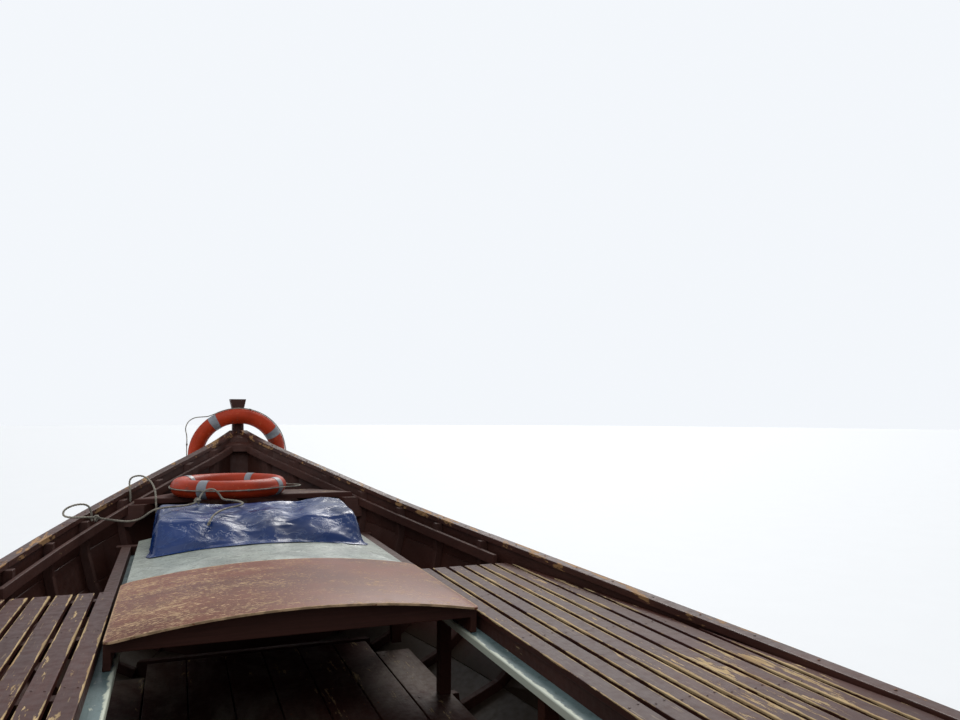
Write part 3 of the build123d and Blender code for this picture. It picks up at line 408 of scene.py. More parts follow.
def slat_wood(name, paint, bare):
    """Bench paint worn off along the upper edges of every slat and in long patches on the seats."""
    made = Finish(name, Specular_IOR_Level=0.12)
    pitch, wide = sizes().slat_pitch, sizes().slat_wide
    low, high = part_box("bench_slats_starboard")
    grain = made.grain("Y")
    patches = made.noise(1.9, (1, 0.6, 1))
    across = (abs(made.part("X")) - (low.x - pitch)) % pitch
    edge = (across * 0.8).least(wide - across).most(0.0) + (high.z - made.part("Z"))
    ragged = made.noise(30, (1, 0.25, 1), detail=7, roughness=0.75)
    heavy = made.noise(2.6, (1.4, 0.8, 1), detail=3).mask(0.36, 0.66, 0.68, 1.38)
    rub = (ragged * heavy - edge * 55.0).mask(0.30, 0.38)
    streaks = made.noise(9, (3.0, 0.42, 1), detail=9, roughness=0.72)
    worn = rub.most((streaks + patches * 0.45).mask(0.825, 0.855) * made.up())
    wood = made.noise(14, (1, 0.3, 1), detail=5).mask(0.50, 0.70, 0, 0.7).mix(
        grain.tones(bare, 0.55, 1, 0.35, 0.65), WEATHERED)
    colour = worn.mix(made.coat(paint, patches, grain, 1.25, 0.4, 0.6), wood)
    scuffs = made.noise(70, (1.8, 0.12, 1), detail=3).mask(0.64, 0.72, 0, 0.3)
    colour = (scuffs * made.up()).mix(colour, shade(bare, 0.7))
    made.bump(grain, 0.0010, 0.6)
    made.bump(worn, 0.0007, -0.9)
    return made.done(colour, (worn + made.noise(30)).mask(0.2, 1.4, 0.36, 0.8))


def cover_wood(name, paint, fleck):
    """Brown stain on a bent board, speckled where it has worn through."""
    made = Finish(name, Specular_IOR_Level=0.2)
    grain = made.grain("X", 5, 0.7)
    patches = made.noise(2.3, (1, 1.4, 1))
    specks = made.noise(95, (0.62, 1.5, 1), roughness=0.62)
    clumps = made.noise(7, (0.8, 1.6, 1), detail=5, roughness=0.65)
    port = made.part("X").mask(-0.6, 0.30, 0.075, 0.0)
    ends = (made.part("Y") - COVER_AFT).least(COVER_FORE - made.part("Y"))
    rim = ends.least(COVER_HALF - abs(made.part("X")))
    rubbed = (specks - rim * 26.0).mask(0.30, 0.42)
    worn = (specks + clumps * 0.5 + port).mask(0.845, 0.890).most(rubbed)
    wood = made.noise(60, (0.4, 1.5, 1), detail=3).tones(fleck, 0.55, 1, 0.4, 0.6)
    colour = (worn * 0.85).mix(made.coat(paint, patches, grain, 1.3, 0.35, 0.6), wood)
    dots = made.cells(38, (0.8, 1, 1)).mask(0.05, 0.09, 1, 0)
    colour = (dots * clumps.mask(0.52, 0.60)).mix(colour, shade(paint, 0.2))
    made.bump(grain, 0.0012, 0.5)
    made.bump(worn, 0.0004, -0.8)
    return made.done(colour, (worn + specks).mask(0.3, 1.5, 0.42, 0.8))


def ledge_wood(name, paint, pale, inner):
    """Grey-green paint, pale along the ledge's inboard edge: rubbed paint there, and a painted highlight on
    that lit edge.
    """
    made = Finish(name, Specular_IOR_Level=0.4)
    grain = made.grain("Y")
    blots = made.noise(17, (1, 0.5, 1), detail=7, roughness=0.7)
    colour = blots.mask(0.52, 0.64, 0, 0.6).mix(made.noise(3).tones(paint, 0.75, 1.3), shade(paint, 0.35))
    ragged = made.noise(30, (1, 0.3, 1), detail=7, roughness=0.72)
    # The pale band along the inboard edge is rubbed paint and a painted highlight on that edge; the low blots
    # add pale rubbed spots.
    rub = (ragged - (abs(made.part("X")) - inner) * 22.0).mask(0.20, 0.32).most(blots.mask(0.34, 0.38, 1, 0))
    made.bump(grain, 0.0012, 0.5)
    made.bump(rub, 0.0006, -0.8)
    return made.done(rub.mix(colour, pale), blots.mask(0.3, 0.7, 0.3, 0.6))


def old_iron(name, metal, rust):
    made = Finish(name, Metallic=0.3, Specular_IOR_Level=0.3)
    field = made.noise(22, detail=7, roughness=0.7)
    colour = field.mask(0.42, 0.58).mix(metal, made.noise(70).mix(shade(rust, 0.5), shade(rust, 1.3)))
    made.bump(field, 0.0012, 0.7)
    made.bump(made.noise(160), 0.0003, 0.5)
    return made.done(colour, field.mask(0.3, 0.7, 0.42, 0.85))


def turned_metal(name, metal, tarnish):
    made = Finish(name, Metallic=1.0)
    field = made.noise(14, detail=5)
    made.bump(made.noise(120), 0.0002, 0.5)
    return made.done(field.mask(0.4, 0.65, 0, 0.8).mix(metal, tarnish), field.mask(0.3, 0.7, 0.28, 0.5))


def laid_fibre(name, colour):
    """Weathered rope: fibres, dirt in the lay and bleached tops."""
    made = Finish(name, Specular_IOR_Level=0.25, Sheen_Weight=0.2)
    fibres = made.noise(420, detail=3, roughness=0.6)
    tone = made.noise(26).tones(colour, 0.42, 1, 0.35, 0.65)
    made.bump(fibres, 0.0005, 0.7)
    return made.done(fibres.mask(0.45, 0.7, 0, 0.5).mix(tone, shade(colour, 1.5)), 0.85)


def buoy_shell(name, colour):
    """Faded orange plastic, scuffed and grimy."""
    made = Finish(name, Specular_IOR_Level=0.18)
    scuffs = made.noise(44, detail=8, roughness=0.72)
    tone = scuffs.mask(0.60, 0.68, 0, 0.5).mix(made.noise(5).tones(colour, 0.8, 1.15, 0.35, 0.65), BUOY_SCUFF)
    tone = made.noise(13, detail=6).mask(0.60, 0.74, 0, 0.55).mix(tone, BUOY_GRIME)
    made.bump(made.noise(240), 0.0003, 0.4)
    made.bump(scuffs, 0.0005, 0.3)
    return made.done(tone, scuffs.mask(0.3, 0.7, 0.36, 0.6))


def band_cloth(name, colour):
    """Grey reflective band, its weave in fine cells."""
    made = Finish(name, Specular_IOR_Level=0.35, Coat_Weight=0.12, Coat_Roughness=0.2)
    cells = made.cells(420)
    dirt = made.noise(18, detail=5)
    tone = cells.mask(0.2, 0.6, 0, 0.3).mix(dirt.tones(colour, 0.55, 1, 0.35, 0.7), shade(colour, 1.3))
    made.bump(cells, 0.0003, 0.5)
    return made.done(tone, dirt.mask(0.3, 0.7, 0.3, 0.5))


def tarp_cloth(name, colour, pale):
    """Coated woven sheeting, crumpled and shiny, with its weave and with whitened creases."""
    made = Finish(name, Specular_IOR_Level=0.24)
    threads = [
        made.add("TexWave", {"Vector": made.where, "Scale": 110.0, "Distortion": 0.3}, bands_direction=way)
        for way in "XY"
    ]
    weave = Field(made, threads[0].outputs[1]) * threads[1].outputs[1]
    crumple = made.noise(4.6, (1, 1.5, 1), detail=2.5, roughness=0.42, distortion=1.0)
    folds = crumple * made.part("Y").mask(2.77, 2.90, 0.35, 1.0)
    crease = made.noise(7, detail=8, roughness=0.62, distortion=0.6)
    line = abs(crease - 0.5).mask(0.0, 0.02, 1, 0)
    tone = (line * 0.10).mix(made.noise(3).tones(colour, 0.7, 1.3), pale)
    tone = made.noise(12, detail=6).mask(0.60, 0.75, 0, 0.35).mix(tone, shade(colour, 0.35))
    made.bump(folds, 0.050, 0.7)
    made.bump(weave, 0.0003, 0.35)
    made.bump(line, 0.0008, 0.5)
    return made.done(tone, crease.mask(0.3, 0.7, 0.20, 0.36))


def sheet_skin(name, colour):
    """Grey-green sheet with a hard shine and fine crinkles: blotchy, darker on the crinkles, with small lighter
    specks.
    """
    made = Finish(name, Specular_IOR_Level=0.45, Coat_Weight=0.15, Coat_Roughness=0.2)
    crinkle = made.noise(30, detail=8, roughness=0.65, distortion=0.7)
    blots = made.noise(6, detail=6, roughness=0.6)
    tone = crinkle.mask(0.50, 0.62, 0, 0.7).mix(blots.tones(colour, 0.62, 1.12), shade(colour, 0.4))
    tone = made.noise(90, detail=3).mask(0.62, 0.7, 0, 0.4).mix(tone, shade(colour, 1.4))
    made.bump(crinkle, 0.0045, 0.8)
    made.bump(made.noise(150, detail=3), 0.0004, 0.5)
    return made.done(tone, crinkle.mask(0.3, 0.7, 0.26, 0.5))


# Sizes and colours that a user would change

def tone(label, default, text):
    return bpy.props.FloatVectorProperty(name=label, description=text, subtype="COLOR", size=3, min=0, max=1,
                                         default=default)


def length(label, default, text):
    return bpy.props.FloatProperty(name=label, description=text, unit="LENGTH", min=0, default=default)


class BoatColours(bpy.types.PropertyGroup):
    hull: tone("Hull paint", (0.046, 0.016, 0.011), "Dark red-brown paint of the planking, frames and rails")
    keel: tone("Keel paint", (0.030, 0.016, 0.013), "Paint of the keel and the bottom's edge")
    bench: tone("Bench paint", (0.056, 0.018, 0.013), "Brown paint of the slats, the sole and the boxes")
    bare: tone("Bare wood", (0.57, 0.41, 0.22), "Wood where the paint is worn off")
    rail_bare: tone("Worn rails", (0.40, 0.22, 0.095), "Golden-brown wood where the rails are rubbed")
    cover: tone("Cover", (0.145, 0.042, 0.019), "Stain of the arched cover")
    fleck: tone("Cover wear", (0.60, 0.41, 0.24), "Specks where the cover's stain is worn through")
    ledge: tone("Ledge paint", (0.11, 0.16, 0.16), "Pale paint of the ledges inside the benches")
    # Colour of the ledges' pale inboard edge: rubbed paint, and a painted highlight on that lit edge.
    ledge_rubbed_and_highlight: tone("Ledge wear", (0.55, 0.58, 0.47), "Pale rubbed edge of the ledges")
    sheet: tone("Grey sheet", (0.30, 0.33, 0.28), "Grey-green sheet before the cover")
    tarp: tone("Tarpaulin", (0.002, 0.021, 0.105), "Navy blue tarpaulin")
    tarp_pale: tone("Tarpaulin creases", (0.12, 0.22, 0.45), "Whitened creases of the tarpaulin")
    buoy: tone("Lifebuoy", (0.37, 0.032, 0.007), "Faded orange shell of the lifebuoys")
    band: tone("Lifebuoy bands", (0.24, 0.25, 0.27), "Grey reflective bands of the lifebuoys")
    iron: tone("Iron", (0.060, 0.050, 0.045), "Iron fittings")
    rust: tone("Rust", (0.19, 0.065, 0.025), "Rust on the iron fittings")
    bronze: tone("Bronze", (0.48, 0.30, 0.12), "Propeller and stern tube")
    steel: tone("Steel", (0.46, 0.46, 0.46), "Propeller shaft")
    engine: tone("Engine paint", (0.055, 0.11, 0.09), "Engine block")
    rope: tone("Rope", (0.37, 0.33, 0.26), "Weathered rope")
    line: tone("Grab line", (0.38, 0.35, 0.28), "Thin lines of the lifebuoys")
    floor: tone("Floor", (0.86, 0.87, 0.88), "Plain floor at the waterline")


class BoatSizes(bpy.types.PropertyGroup):
    rope: length("Rope radius", 0.006, "Radius of the ropes")
    line: length("Line radius", 0.004, "Radius of the lifebuoys' grab lines")
    band: length("Band width", 0.052, "Width of a lifebuoy's band")
    screw: length("Screw head", 0.0038, "Radius of the slats' screw heads")
    rivet: length("Rivet head", 0.0065, "Radius of the planking's rivets")
    nail: length("Nail head", 0.005, "Radius of the rails' nails")
    ease: length("Eased edge", 0.003, "Round on the timbers' edges")
    tarp_wide: length("Tarpaulin width", 1.22, "Width of the tarpaulin, across the boat")
    tarp_long: length("Tarpaulin length", 0.77, "Length of the tarpaulin, along the boat")
    slat_pitch: length("Slat pitch", 0.0796, "From one slat of the bench to the next")
    slat_wide: length("Slat width", 0.062, "Width of a slat")
    floor: length("Floor radius", 60.0, "Radius of the floor around the boat")


def sizes():
    return bpy.context.scene.boat_sizes


def tint(name, factor=1.0):
    """One of the panel's colours, as it is or darker or lighter."""
    return shade(getattr(bpy.context.scene.boat_colours, name), factor)


def stock(name, maker, *args, **settings):
    """A material by name, made the first time that it is asked for."""
    name = "worn_" + name
    return bpy.data.materials.get(name) or maker(name, *args, **settings)


def paint(name, colour, depth=1.0, wood="bare", pale=1.0, **look):
    """Painted wood in one of the panel's colours, over bare wood in another."""
    return stock(name, painted_wood, tint(colour, depth), tint(wood, pale), **look)


def hull_paint():
    return paint("hull_outside", "hull", chips=0.25, gloss=0.36, stain=0.6)


def slat_paint():
    return stock("slat_paint", slat_wood, tint("bench"), tint("bare"))


def iron_skin():
    return stock("old_iron", old_iron, tint("iron"), tint("rust"))


def twine():
    return stock("twine", laid_fibre, tint("line", 0.7))


# Ropes

def smooth_route(points):
    """Points on the smooth spline that has a route's points as its control points."""
    curve = bpy.data.curves.new("route", "CURVE")
    curve.dimensions = "3D"
    curve.resolution_u = 16
    spline = curve.splines.new("NURBS")
    spline.points.add(len(points) - 1)
    for knot, place in zip(spline.points, points):
        knot.co = (*place, 1.0)
    spline.order_u = 3
    spline.use_endpoint_u = True
    holder = link(bpy.data.objects.new("route", curve))
    bpy.context.view_layer.update()
    mesh = bpy.data.meshes.new_from_object(holder)
    line = [v.co.copy() for v in mesh.vertices]
    bpy.data.objects.remove(holder)
    bpy.data.curves.remove(curve)
    bpy.data.meshes.remove(mesh)
    return line


def evenly(line, step):
    """Points a step apart along a line."""
    made, left = [line[0].copy()], step
    for a, b in zip(line, line[1:]):
        run = (b - a).length
        while left <= run:
            made.append(a.lerp(b, left / run))
            left += step
        left -= run
    if (made[-1] - line[-1]).length > step * 0.3:
        made.append(line[-1].copy())
    return made


def line_length(line):
    return sum((b - a).length for a, b in zip(line, line[1:]))


def along(line, spot):
    """Distance along a line to its point nearest to a place."""
    best = min(range(len(line)), key=lambda i: (line[i] - spot).length)
    return line_length(line[:best + 1])


def with_sides(line):
    """Each point of a line with two directions square to it, carried along without a twist."""
    side = (line[1] - line[0]).orthogonal().normalized()
    for i, place in enumerate(line):
        ahead = (line[min(i + 1, len(line) - 1)] - line[max(i - 1, 0)]).normalized()
        side = (side - ahead * side.dot(ahead)).normalized()
        yield place, side, ahead.cross(side)


def spoke(side, over, share):
    """Direction at a share of a full turn, in the plane of two directions."""
    return side * math.cos(2 * math.pi * share) + over * math.sin(2 * math.pi * share)


def tubes(name, points, strands, sides, degrees):
    """Closed tubes side by side, from the rings of their points at each place along a line."""
    ring, faces = strands * sides, []
    last = len(points) - ring
    for first in range(0, last, sides):
        for j in range(sides):
            a, b = first + j, first + (j + 1) % sides
            faces.append((a, b, b + ring, a + ring))
    for k in range(0, ring, sides):
        faces.append([k + j for j in reversed(range(sides))])
        faces.append([last + k + j for j in range(sides)])
    return smooth(mesh_piece(name, points, faces), degrees)


def laid_rope(name, line, radius, strands=3, sides=6):
    """Strands wound round a line of points, closed at both ends."""
    points, travelled, before = [], 0.0, line[0]
    for place, side, over in with_sides(evenly(line, radius * 0.8)):
        travelled += (place - before).length
        before = place
        for k in range(strands):
            turn = k / strands + travelled / (radius * 7.5)
            centre = place + spoke(side, over, turn) * radius * 0.475
            points += [centre + spoke(side, over, turn + j / sides) * radius * 0.535 for j in range(sides)]
    return tubes(name, points, strands, sides, 70)


def whipping(name, line, radius, at, turns=7, wire=0.0009, steps=12, sides=6):
    """Twine wound round a rope at a place along it, as one coil."""
    spacing = 0.002
    line = evenly(line, spacing)
    start = max(0, min(int(at / spacing), len(line) - 2 - int(turns * 2 * wire / spacing)))
    ahead = (line[start + 1] - line[max(start - 1, 0)]).normalized()
    side = ahead.orthogonal().normalized()
    over = ahead.cross(side)
    coil = [
        line[start] + ahead * (i / steps) * 2 * wire * 1.02
        + spoke(side, over, i / steps) * (radius * 1.02 + wire)
        for i in range(turns * steps + 1)
    ]
    points = [place + spoke(a, b, j / sides) * wire for place, a, b in with_sides(coil) for j in range(sides)]
    return tubes(name, points, 1, sides, 60)


def knot(name, centre, ahead, size, radius, steps=60):
    """Overhand knot drawn up round a rope."""
    place = facing(centre, ahead)
    loop = []
    for i in range(steps + 1):
        t = 2 * math.pi * i / steps
        point = Vector((
            math.sin(t) + 2 * math.sin(2 * t), math.cos(t) - 2 * math.cos(2 * t), -1.5 * math.sin(3 * t)))
        loop.append(place @ (point * size / 3))
    return laid_rope(name, loop, radius)


def on_ring(plane, degrees, radius=LINE_HUG):
    """Point round a lifebuoy, by its turn in degrees."""
    turn = math.radians(degrees)
    return plane @ Vector((radius * math.cos(turn), radius * math.sin(turn), 0))


def ring_line(plane, loop_start, loop_end, bow):
    """Control points of a grab line round a lifebuoy, with one slack loop between two turns in degrees."""
    turns = [i * 18 for i in range(20)]
    before = [on_ring(plane, t) for t in turns if t <= loop_start]
    after = [on_ring(plane, t) for t in turns if t >= loop_end]
    loop = [
        on_ring(plane, loop_start + (loop_end - loop_start) * share, LINE_HUG + bow * out)
        for share, out in ((0.12, 0.35), (0.3, 0.9), (0.5, 1.1), (0.7, 0.9), (0.88, 0.35))
    ]
    return before + loop + after + [on_ring(plane, 358)]


class BOAT_OT_camera(bpy.types.Operator):
    """Camera over the port bench, looking forward over the bow"""

    bl_idname = "boat.camera"
    bl_label = "Bench camera"

    def execute(self, context):
        data = set_all(bpy.data.cameras.new("bench_view"), sensor_width=SENSOR_MM, clip_end=VIEW_DEPTH,
                       lens=SENSOR_MM * FOCAL_PIXELS / FRAME_PIXELS)
        camera = link(bpy.data.objects.new("bench_view", data))
        turn = Matrix((EYE_RIGHT, EYE_UP, [-c for c in EYE_AHEAD])).transposed()
        camera.matrix_world = Matrix.Translation(EYE) @ turn.to_4x4()
        context.scene.camera = camera
        return {"FINISHED"}


class BOAT_OT_ropes(bpy.types.Operator):
    """Two laid ropes tied behind the port inwale, with their knots and whippings"""

    bl_idname = "boat.ropes"
    bl_label = "Ropes"

    def execute(self, context):
        radius, spacing = sizes().rope, 0.005
        fibre = stock("rope_fibre", laid_fibre, tint("rope"))
        for name, route, knots in (("tarp_rope", TARP_ROPE, TARP_KNOTS), ("gunwale_rope", GUNWALE_ROPE, ())):
            line = smooth_route(route)
            whole = line_length(line)
            rope = finished(laid_rope(name + "_laid", line, radius), fibre)
            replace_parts(rope, name)
            end = whipping(name + "_whipping", line, radius, whole - WHIPPING_BACK)
            extras = [finished(end, twine())]
            even = evenly(line, spacing)
            for i, at in enumerate(knots):
                place = int(at / spacing)
                ahead = even[place + 1] - even[place - 1]
                drawn = knot(f"{name}_knot_{i + 1}", even[place], ahead, KNOT_SIZE, radius * 0.92)
                extras.append(finished(drawn, fibre))
            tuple(route[0])
            [tuple(p) for p in line]
        return {"FINISHED"}


class BOAT_OT_grab_lines(bpy.types.Operator):
    """Grab line round each lifebuoy, seized to its shell at four places"""

    bl_idname = "boat.grab_lines"
    bl_label = "Grab lines"

    def execute(self, context):
        radius = sizes().line
        fibre = stock("line_fibre", laid_fibre, tint("line"))
        for name, plane, start, end, bow, first_tie in (
            ("grab_line_flat", FLAT_RING, 325, 359, 0.080, 14),
            ("grab_line_hung", HUNG_RING, 197, 233, 0.070, 12),
        ):
            route = ring_line(plane, start, end, bow)
            line = smooth_route(route)
            whole = line_length(line)
            rope = finished(laid_rope(name + "_laid", line, radius), fibre)
            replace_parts(rope, name)
            spots = [along(line, on_ring(plane, first_tie + 90 * i)) for i in range(4)]
            coils = [whipping("seizing", line, radius, spot, turns=6, wire=0.0011) for spot in spots]
            seizings = finished(joined(coils, name + "_seizings"), twine())
            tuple(route[0])
            [tuple(p) for p in line]
        return {"FINISHED"}


def torus(name, tube, segments):
    """Torus of the lifebuoys' size, in edit mode and all selected."""
    bpy.ops.mesh.primitive_torus_add(major_radius=RING_MAJOR, minor_radius=tube, major_segments=segments,
                                     minor_segments=36)
    piece = new_piece(name)
    edit_all()
    return piece


class BOAT_OT_lifebuoys(bpy.types.Operator):
    """Two orange lifebuoys with a moulded seam and grey reflective bands"""

    bl_idname = "boat.lifebuoys"
    bl_label = "Lifebuoys"

    def execute(self, context):
        shell = stock("buoy_shell", buoy_shell, tint("buoy"))
        cloth = stock("band_cloth", band_cloth, tint("band"))
        seam_high, seam_reach = 0.0062, RING_MAJOR + RING_TUBE - 0.01
        half = sizes().band / 2 / RING_MAJOR
        for name, plane, first in (("lifebuoy_flat", FLAT_RING, 59), ("lifebuoy_hung", HUNG_RING, 56)):
            ring = torus(name + "_shell", RING_TUBE - 0.0015, 144)
            bpy.ops.mesh.select_mode(type="FACE")
            pick_faces(ring, lambda spot: abs(spot.z) < seam_high and spot.to_2d().length > seam_reach)
            bpy.ops.mesh.extrude_region_shrink_fatten(TRANSFORM_OT_shrink_fatten={"value": 0.0014})
            edit_done()
            apply_modifier(ring, "BEVEL", width=0.0006, segments=1, limit_method="ANGLE",
                           angle_limit=math.radians(50))
            smooth(ring, 40)
            settle(ring, plane)
            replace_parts(finished(ring, shell), name)

            band = torus(name + "_band", RING_TUBE + 0.0004, 180)
            for sign in (1, -1):
                bpy.ops.mesh.select_all(action="SELECT")
                bpy.ops.mesh.bisect(plane_co=(0, 0, 0), plane_no=(-math.sin(half), math.cos(half) * sign, 0),
                                    clear_outer=True)
            edit_done()
            apply_modifier(band, "SOLIDIFY", thickness=0.0011, offset=-1)
            smooth(band, 40)
            places = [plane @ Matrix.Rotation(math.radians(first + 90 * i), 4, "Z") for i in range(4)]
            finished(copies(band, places, name + "_bands"), cloth)
        return {"FINISHED"}


def tarp_height(y):
    """Top of the space that the folded tarpaulin fills."""
    for (y0, z0), (y1, z1) in zip(BUNDLE_TOPS, BUNDLE_TOPS[1:]):
        if y <= y1:
            return z0 + (z1 - z0) * (y - y0) / (y1 - y0)
    return BUNDLE_TOPS[-1][1]


def arch_height(x):
    """Top of the grey sheet's arch."""
    radius = (ARCH_HALF * ARCH_HALF + ARCH_RISE * ARCH_RISE) / (2 * ARCH_RISE)
    return ARCH_EDGE + ARCH_RISE - radius + math.sqrt(radius * radius - x * x)


def ridges(place, scale):
    return 1 - abs(noise.noise(Vector(place) * scale)) * 2


def bell(distance):
    return math.exp(-distance * distance)


def step(value, low, high):
    t = min(1.0, max(0.0, (value - low) / (high - low)))
    return t * t * (3 - 2 * t)


def bundle_height(x, y):
    """Top of the folds inside the tarpaulin, or of the grey sheet beside them."""
    on_sheet = abs(x) < SHEET_HALF - 0.001 and y < BUNDLE_FORE
    ground = arch_height(abs(x)) if on_sheet else BESIDE_SHEET
    if not (BUNDLE_AFT - 0.005 < y < BUNDLE_FORE + 0.005 and abs(x) < BUNDLE_HALF):
        return ground
    aft = 1 - step(y, 2.80, 3.20)
    top = tarp_height(min(max(y, BUNDLE_AFT), BUNDLE_FORE)) - 0.006
    # A roll to each side, two creases that deepen aft, and a small dent.
    top += 0.012 * bell((x - 0.41) / 0.11) + 0.008 * bell((x + 0.45) / 0.10)
    top -= (0.008 + 0.034 * aft) * bell((x - 0.165 - 0.2 * (y - 2.83)) / 0.05)
    top -= (0.006 + 0.026 * aft) * bell((x + 0.075 + 0.25 * (y - 2.83)) / 0.07)
    top -= 0.012 * bell((x + 0.26) / 0.05) * aft
    # Wrinkles all over, aft corners that fall away, and uneven cloth.
    top -= 0.016 * max(0, 0.75 - ridges((x + 0.4 * y, 0.8 * y, 4.0), 5.0))
    top -= 0.060 * step(abs(x), 0.30, 0.52) * (1 - step(y, BUNDLE_AFT, 2.86))
    top += 0.008 * noise.noise(Vector((x * 6, y * 6, 3.0)))
    side = 1 - step(abs(x), 0.500, 0.528)
    ends = step(y, 2.657, 2.672) * (1 - step(y, 3.275, 3.300))
    return ground + max(0.0, top - ground) * side * ends


def grid_piece(name, place, rows, columns):
    """Sheet of quads, its points given by a function of two shares from 0 to 1."""
    points = [place(i / rows, j / columns) for i in range(rows + 1) for j in range(columns + 1)]
    wide = columns + 1
    faces = [(i * wide + j, i * wide + j + 1, (i + 1) * wide + j + 1, (i + 1) * wide + j)
             for i in range(rows) for j in range(columns)]
    return mesh_piece(name, points, faces)


class BOAT_OT_tarpaulin(bpy.types.Operator):
    """Blue tarpaulin draped over its own folds on the grey sheet"""

    bl_idname = "boat.tarpaulin"
    bl_label = "Tarpaulin"

    def execute(self, context):
        def core(v, u):
            x, y = CORE_CORNER[0] + CORE_SIZE[0] * u, CORE_CORNER[1] + CORE_SIZE[1] * v
            return Vector((x, y, bundle_height(x, y)))

        ground = grid_piece("tarpaulin_core", core, 90, 130)
        take(ground)
        ground.modifiers.new("Collision", "COLLISION")
        set_all(ground.collision, thickness_outer=0.003, cloth_friction=12)
        wide, long = sizes().tarp_wide, sizes().tarp_long
        bpy.ops.mesh.primitive_grid_add(x_subdivisions=100, y_subdivisions=58, size=1, location=TARP_MIDDLE)
        cloth = new_piece("tarpaulin")
        edit_all()
        bpy.ops.transform.resize(value=(wide, long, 1))
        edit_done()
        settle(cloth)
        for vert in cloth.data.vertices:
            x, y = vert.co.x, vert.co.y
            wave = 0.010 * noise.noise(Vector((x * 4, y * 5, 9.0)))
            vert.co.z += wave + 0.006 * noise.noise(Vector((x * 11, y * 9, 2.0)))
        self.drape(cloth)
        bpy.data.objects.remove(ground)
        self.press_under_rope(cloth)
        apply_modifier(cloth, "SUBSURF", levels=1, render_levels=1)
        apply_modifier(cloth, "SOLIDIFY", thickness=0.0012, offset=1)
        blue = stock("tarp_cloth", tarp_cloth, tint("tarp"), tint("tarp_pale"))
        finished(smooth(cloth, 60), blue)
        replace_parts(cloth, "tarp_bundle")
        return {"FINISHED"}

    def drape(self, cloth, moments=30):
        """Let the cloth fall over its core, a little larger than it was cut so that it creases."""
        fall = cloth.modifiers.new("Cloth", "CLOTH")
        set_all(fall.settings, quality=5, mass=0.25, air_damping=2, bending_stiffness=0.35, shear_stiffness=8,
                tension_stiffness=20, compression_stiffness=20, tension_damping=10, compression_damping=10,
                shrink_min=-0.045, shrink_max=-0.045)
        set_all(fall.collision_settings, use_self_collision=False, distance_min=0.003, collision_quality=3)
        fall.point_cache.frame_end = moments
        for moment in range(1, moments + 1):
            bpy.context.scene.frame_set(moment)
        take(cloth)
        bpy.ops.object.modifier_apply(modifier=fall.name)
        bpy.context.scene.frame_set(1)
        # What hangs past its room, and what floats over the folds or has sunk into them, is drawn in.
        past, near, skin, slack, rise = 0.2, 0.3, 0.0015, 0.0065, 0.02
        for vert in cloth.data.vertices:
            beyond = abs(vert.co.x) - TARP_HALF
            if beyond > 0:
                vert.co.x = math.copysign(TARP_HALF + past * beyond, vert.co.x)
            vert.co.y = min(vert.co.y, BUNDLE_FORE + 0.006)
            floor = bundle_height(vert.co.x, vert.co.y)
            gap = vert.co.z - floor
            hem = near if beyond > -0.005 or vert.co.y < BUNDLE_AFT + 0.005 else 1.0
            if gap > 0:
                vert.co.z = floor + skin + max(0.0, gap - slack) * hem
            else:
                vert.co.z = max(vert.co.z, min(floor + skin, vert.co.z + rise))

    def press_under_rope(self, cloth):
        """Keep the cloth below the rope that lies on it."""
        inner, reach, clear, lift, radius = -0.56, 0.022, 0.003, 0.030, sizes().rope
        rope = [p for p in evenly(smooth_route(TARP_ROPE), 0.006) if p.x > inner]
        for vert in cloth.data.vertices:
            for spot in rope:
                away = math.hypot(vert.co.x - spot.x, vert.co.y - spot.y)
                if away < reach:
                    vert.co.z = min(vert.co.z, spot.z - radius - clear + lift * (away / reach) ** 3)


class BOAT_OT_grey_sheet(bpy.types.Operator):
    """Shiny grey-green sheet stretched over its hoops, creased between them"""

    bl_idname = "boat.grey_sheet"
    bl_label = "Grey sheet"

    def execute(self, context):
        long = SHEET_FORE - SHEET_AFT

        def place(v, u):
            x, y = SHEET_HALF * (2 * u - 1), SHEET_AFT + long * v
            gap = min(abs(y - hoop) for hoop in SHEET_HOOPS)
            edge = 1 - abs(2 * u - 1)
            calm = min(1.0, edge / 0.12) * min(1.0, gap / 0.06)
            sag = 0.008 * min(1, gap / 0.2) ** 2 * edge
            wave = 0.004 * (noise.noise(Vector((x * 5, y * 3, 2.0))) - 0.3)
            crease = 0.006 * max(0, ridges((x + 0.35 * y, y * 0.7, 5.0), 3.0) - 0.72) / 0.28
            return Vector((x, y, arch_height(abs(x)) + (wave + crease - sag) * calm))

        skin = grid_piece("grey_sheet", place, 150, 150)
        apply_modifier(skin, "SOLIDIFY", thickness=0.0016, offset=-1)
        finished(smooth(skin, 60), stock("sheet_skin", sheet_skin, tint("sheet")))
        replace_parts(skin, "arched_sheet")
        return {"FINISHED"}


def heads(name, radius, height, places):
    """Low domed heads of fastenings, their feet in the surface."""
    bpy.ops.mesh.primitive_uv_sphere_add(segments=10, ring_count=6, radius=radius)
    head = new_piece("head")
    edit_all()
    bpy.ops.mesh.bisect(plane_co=(0, 0, -radius * 0.05), plane_no=(0, 0, 1), clear_inner=True, use_fill=True)
    bpy.ops.mesh.select_all(action="SELECT")
    bpy.ops.transform.resize(value=(1, 1, height / radius))
    edit_done()
    return copies(smooth(head, 50), places, name)


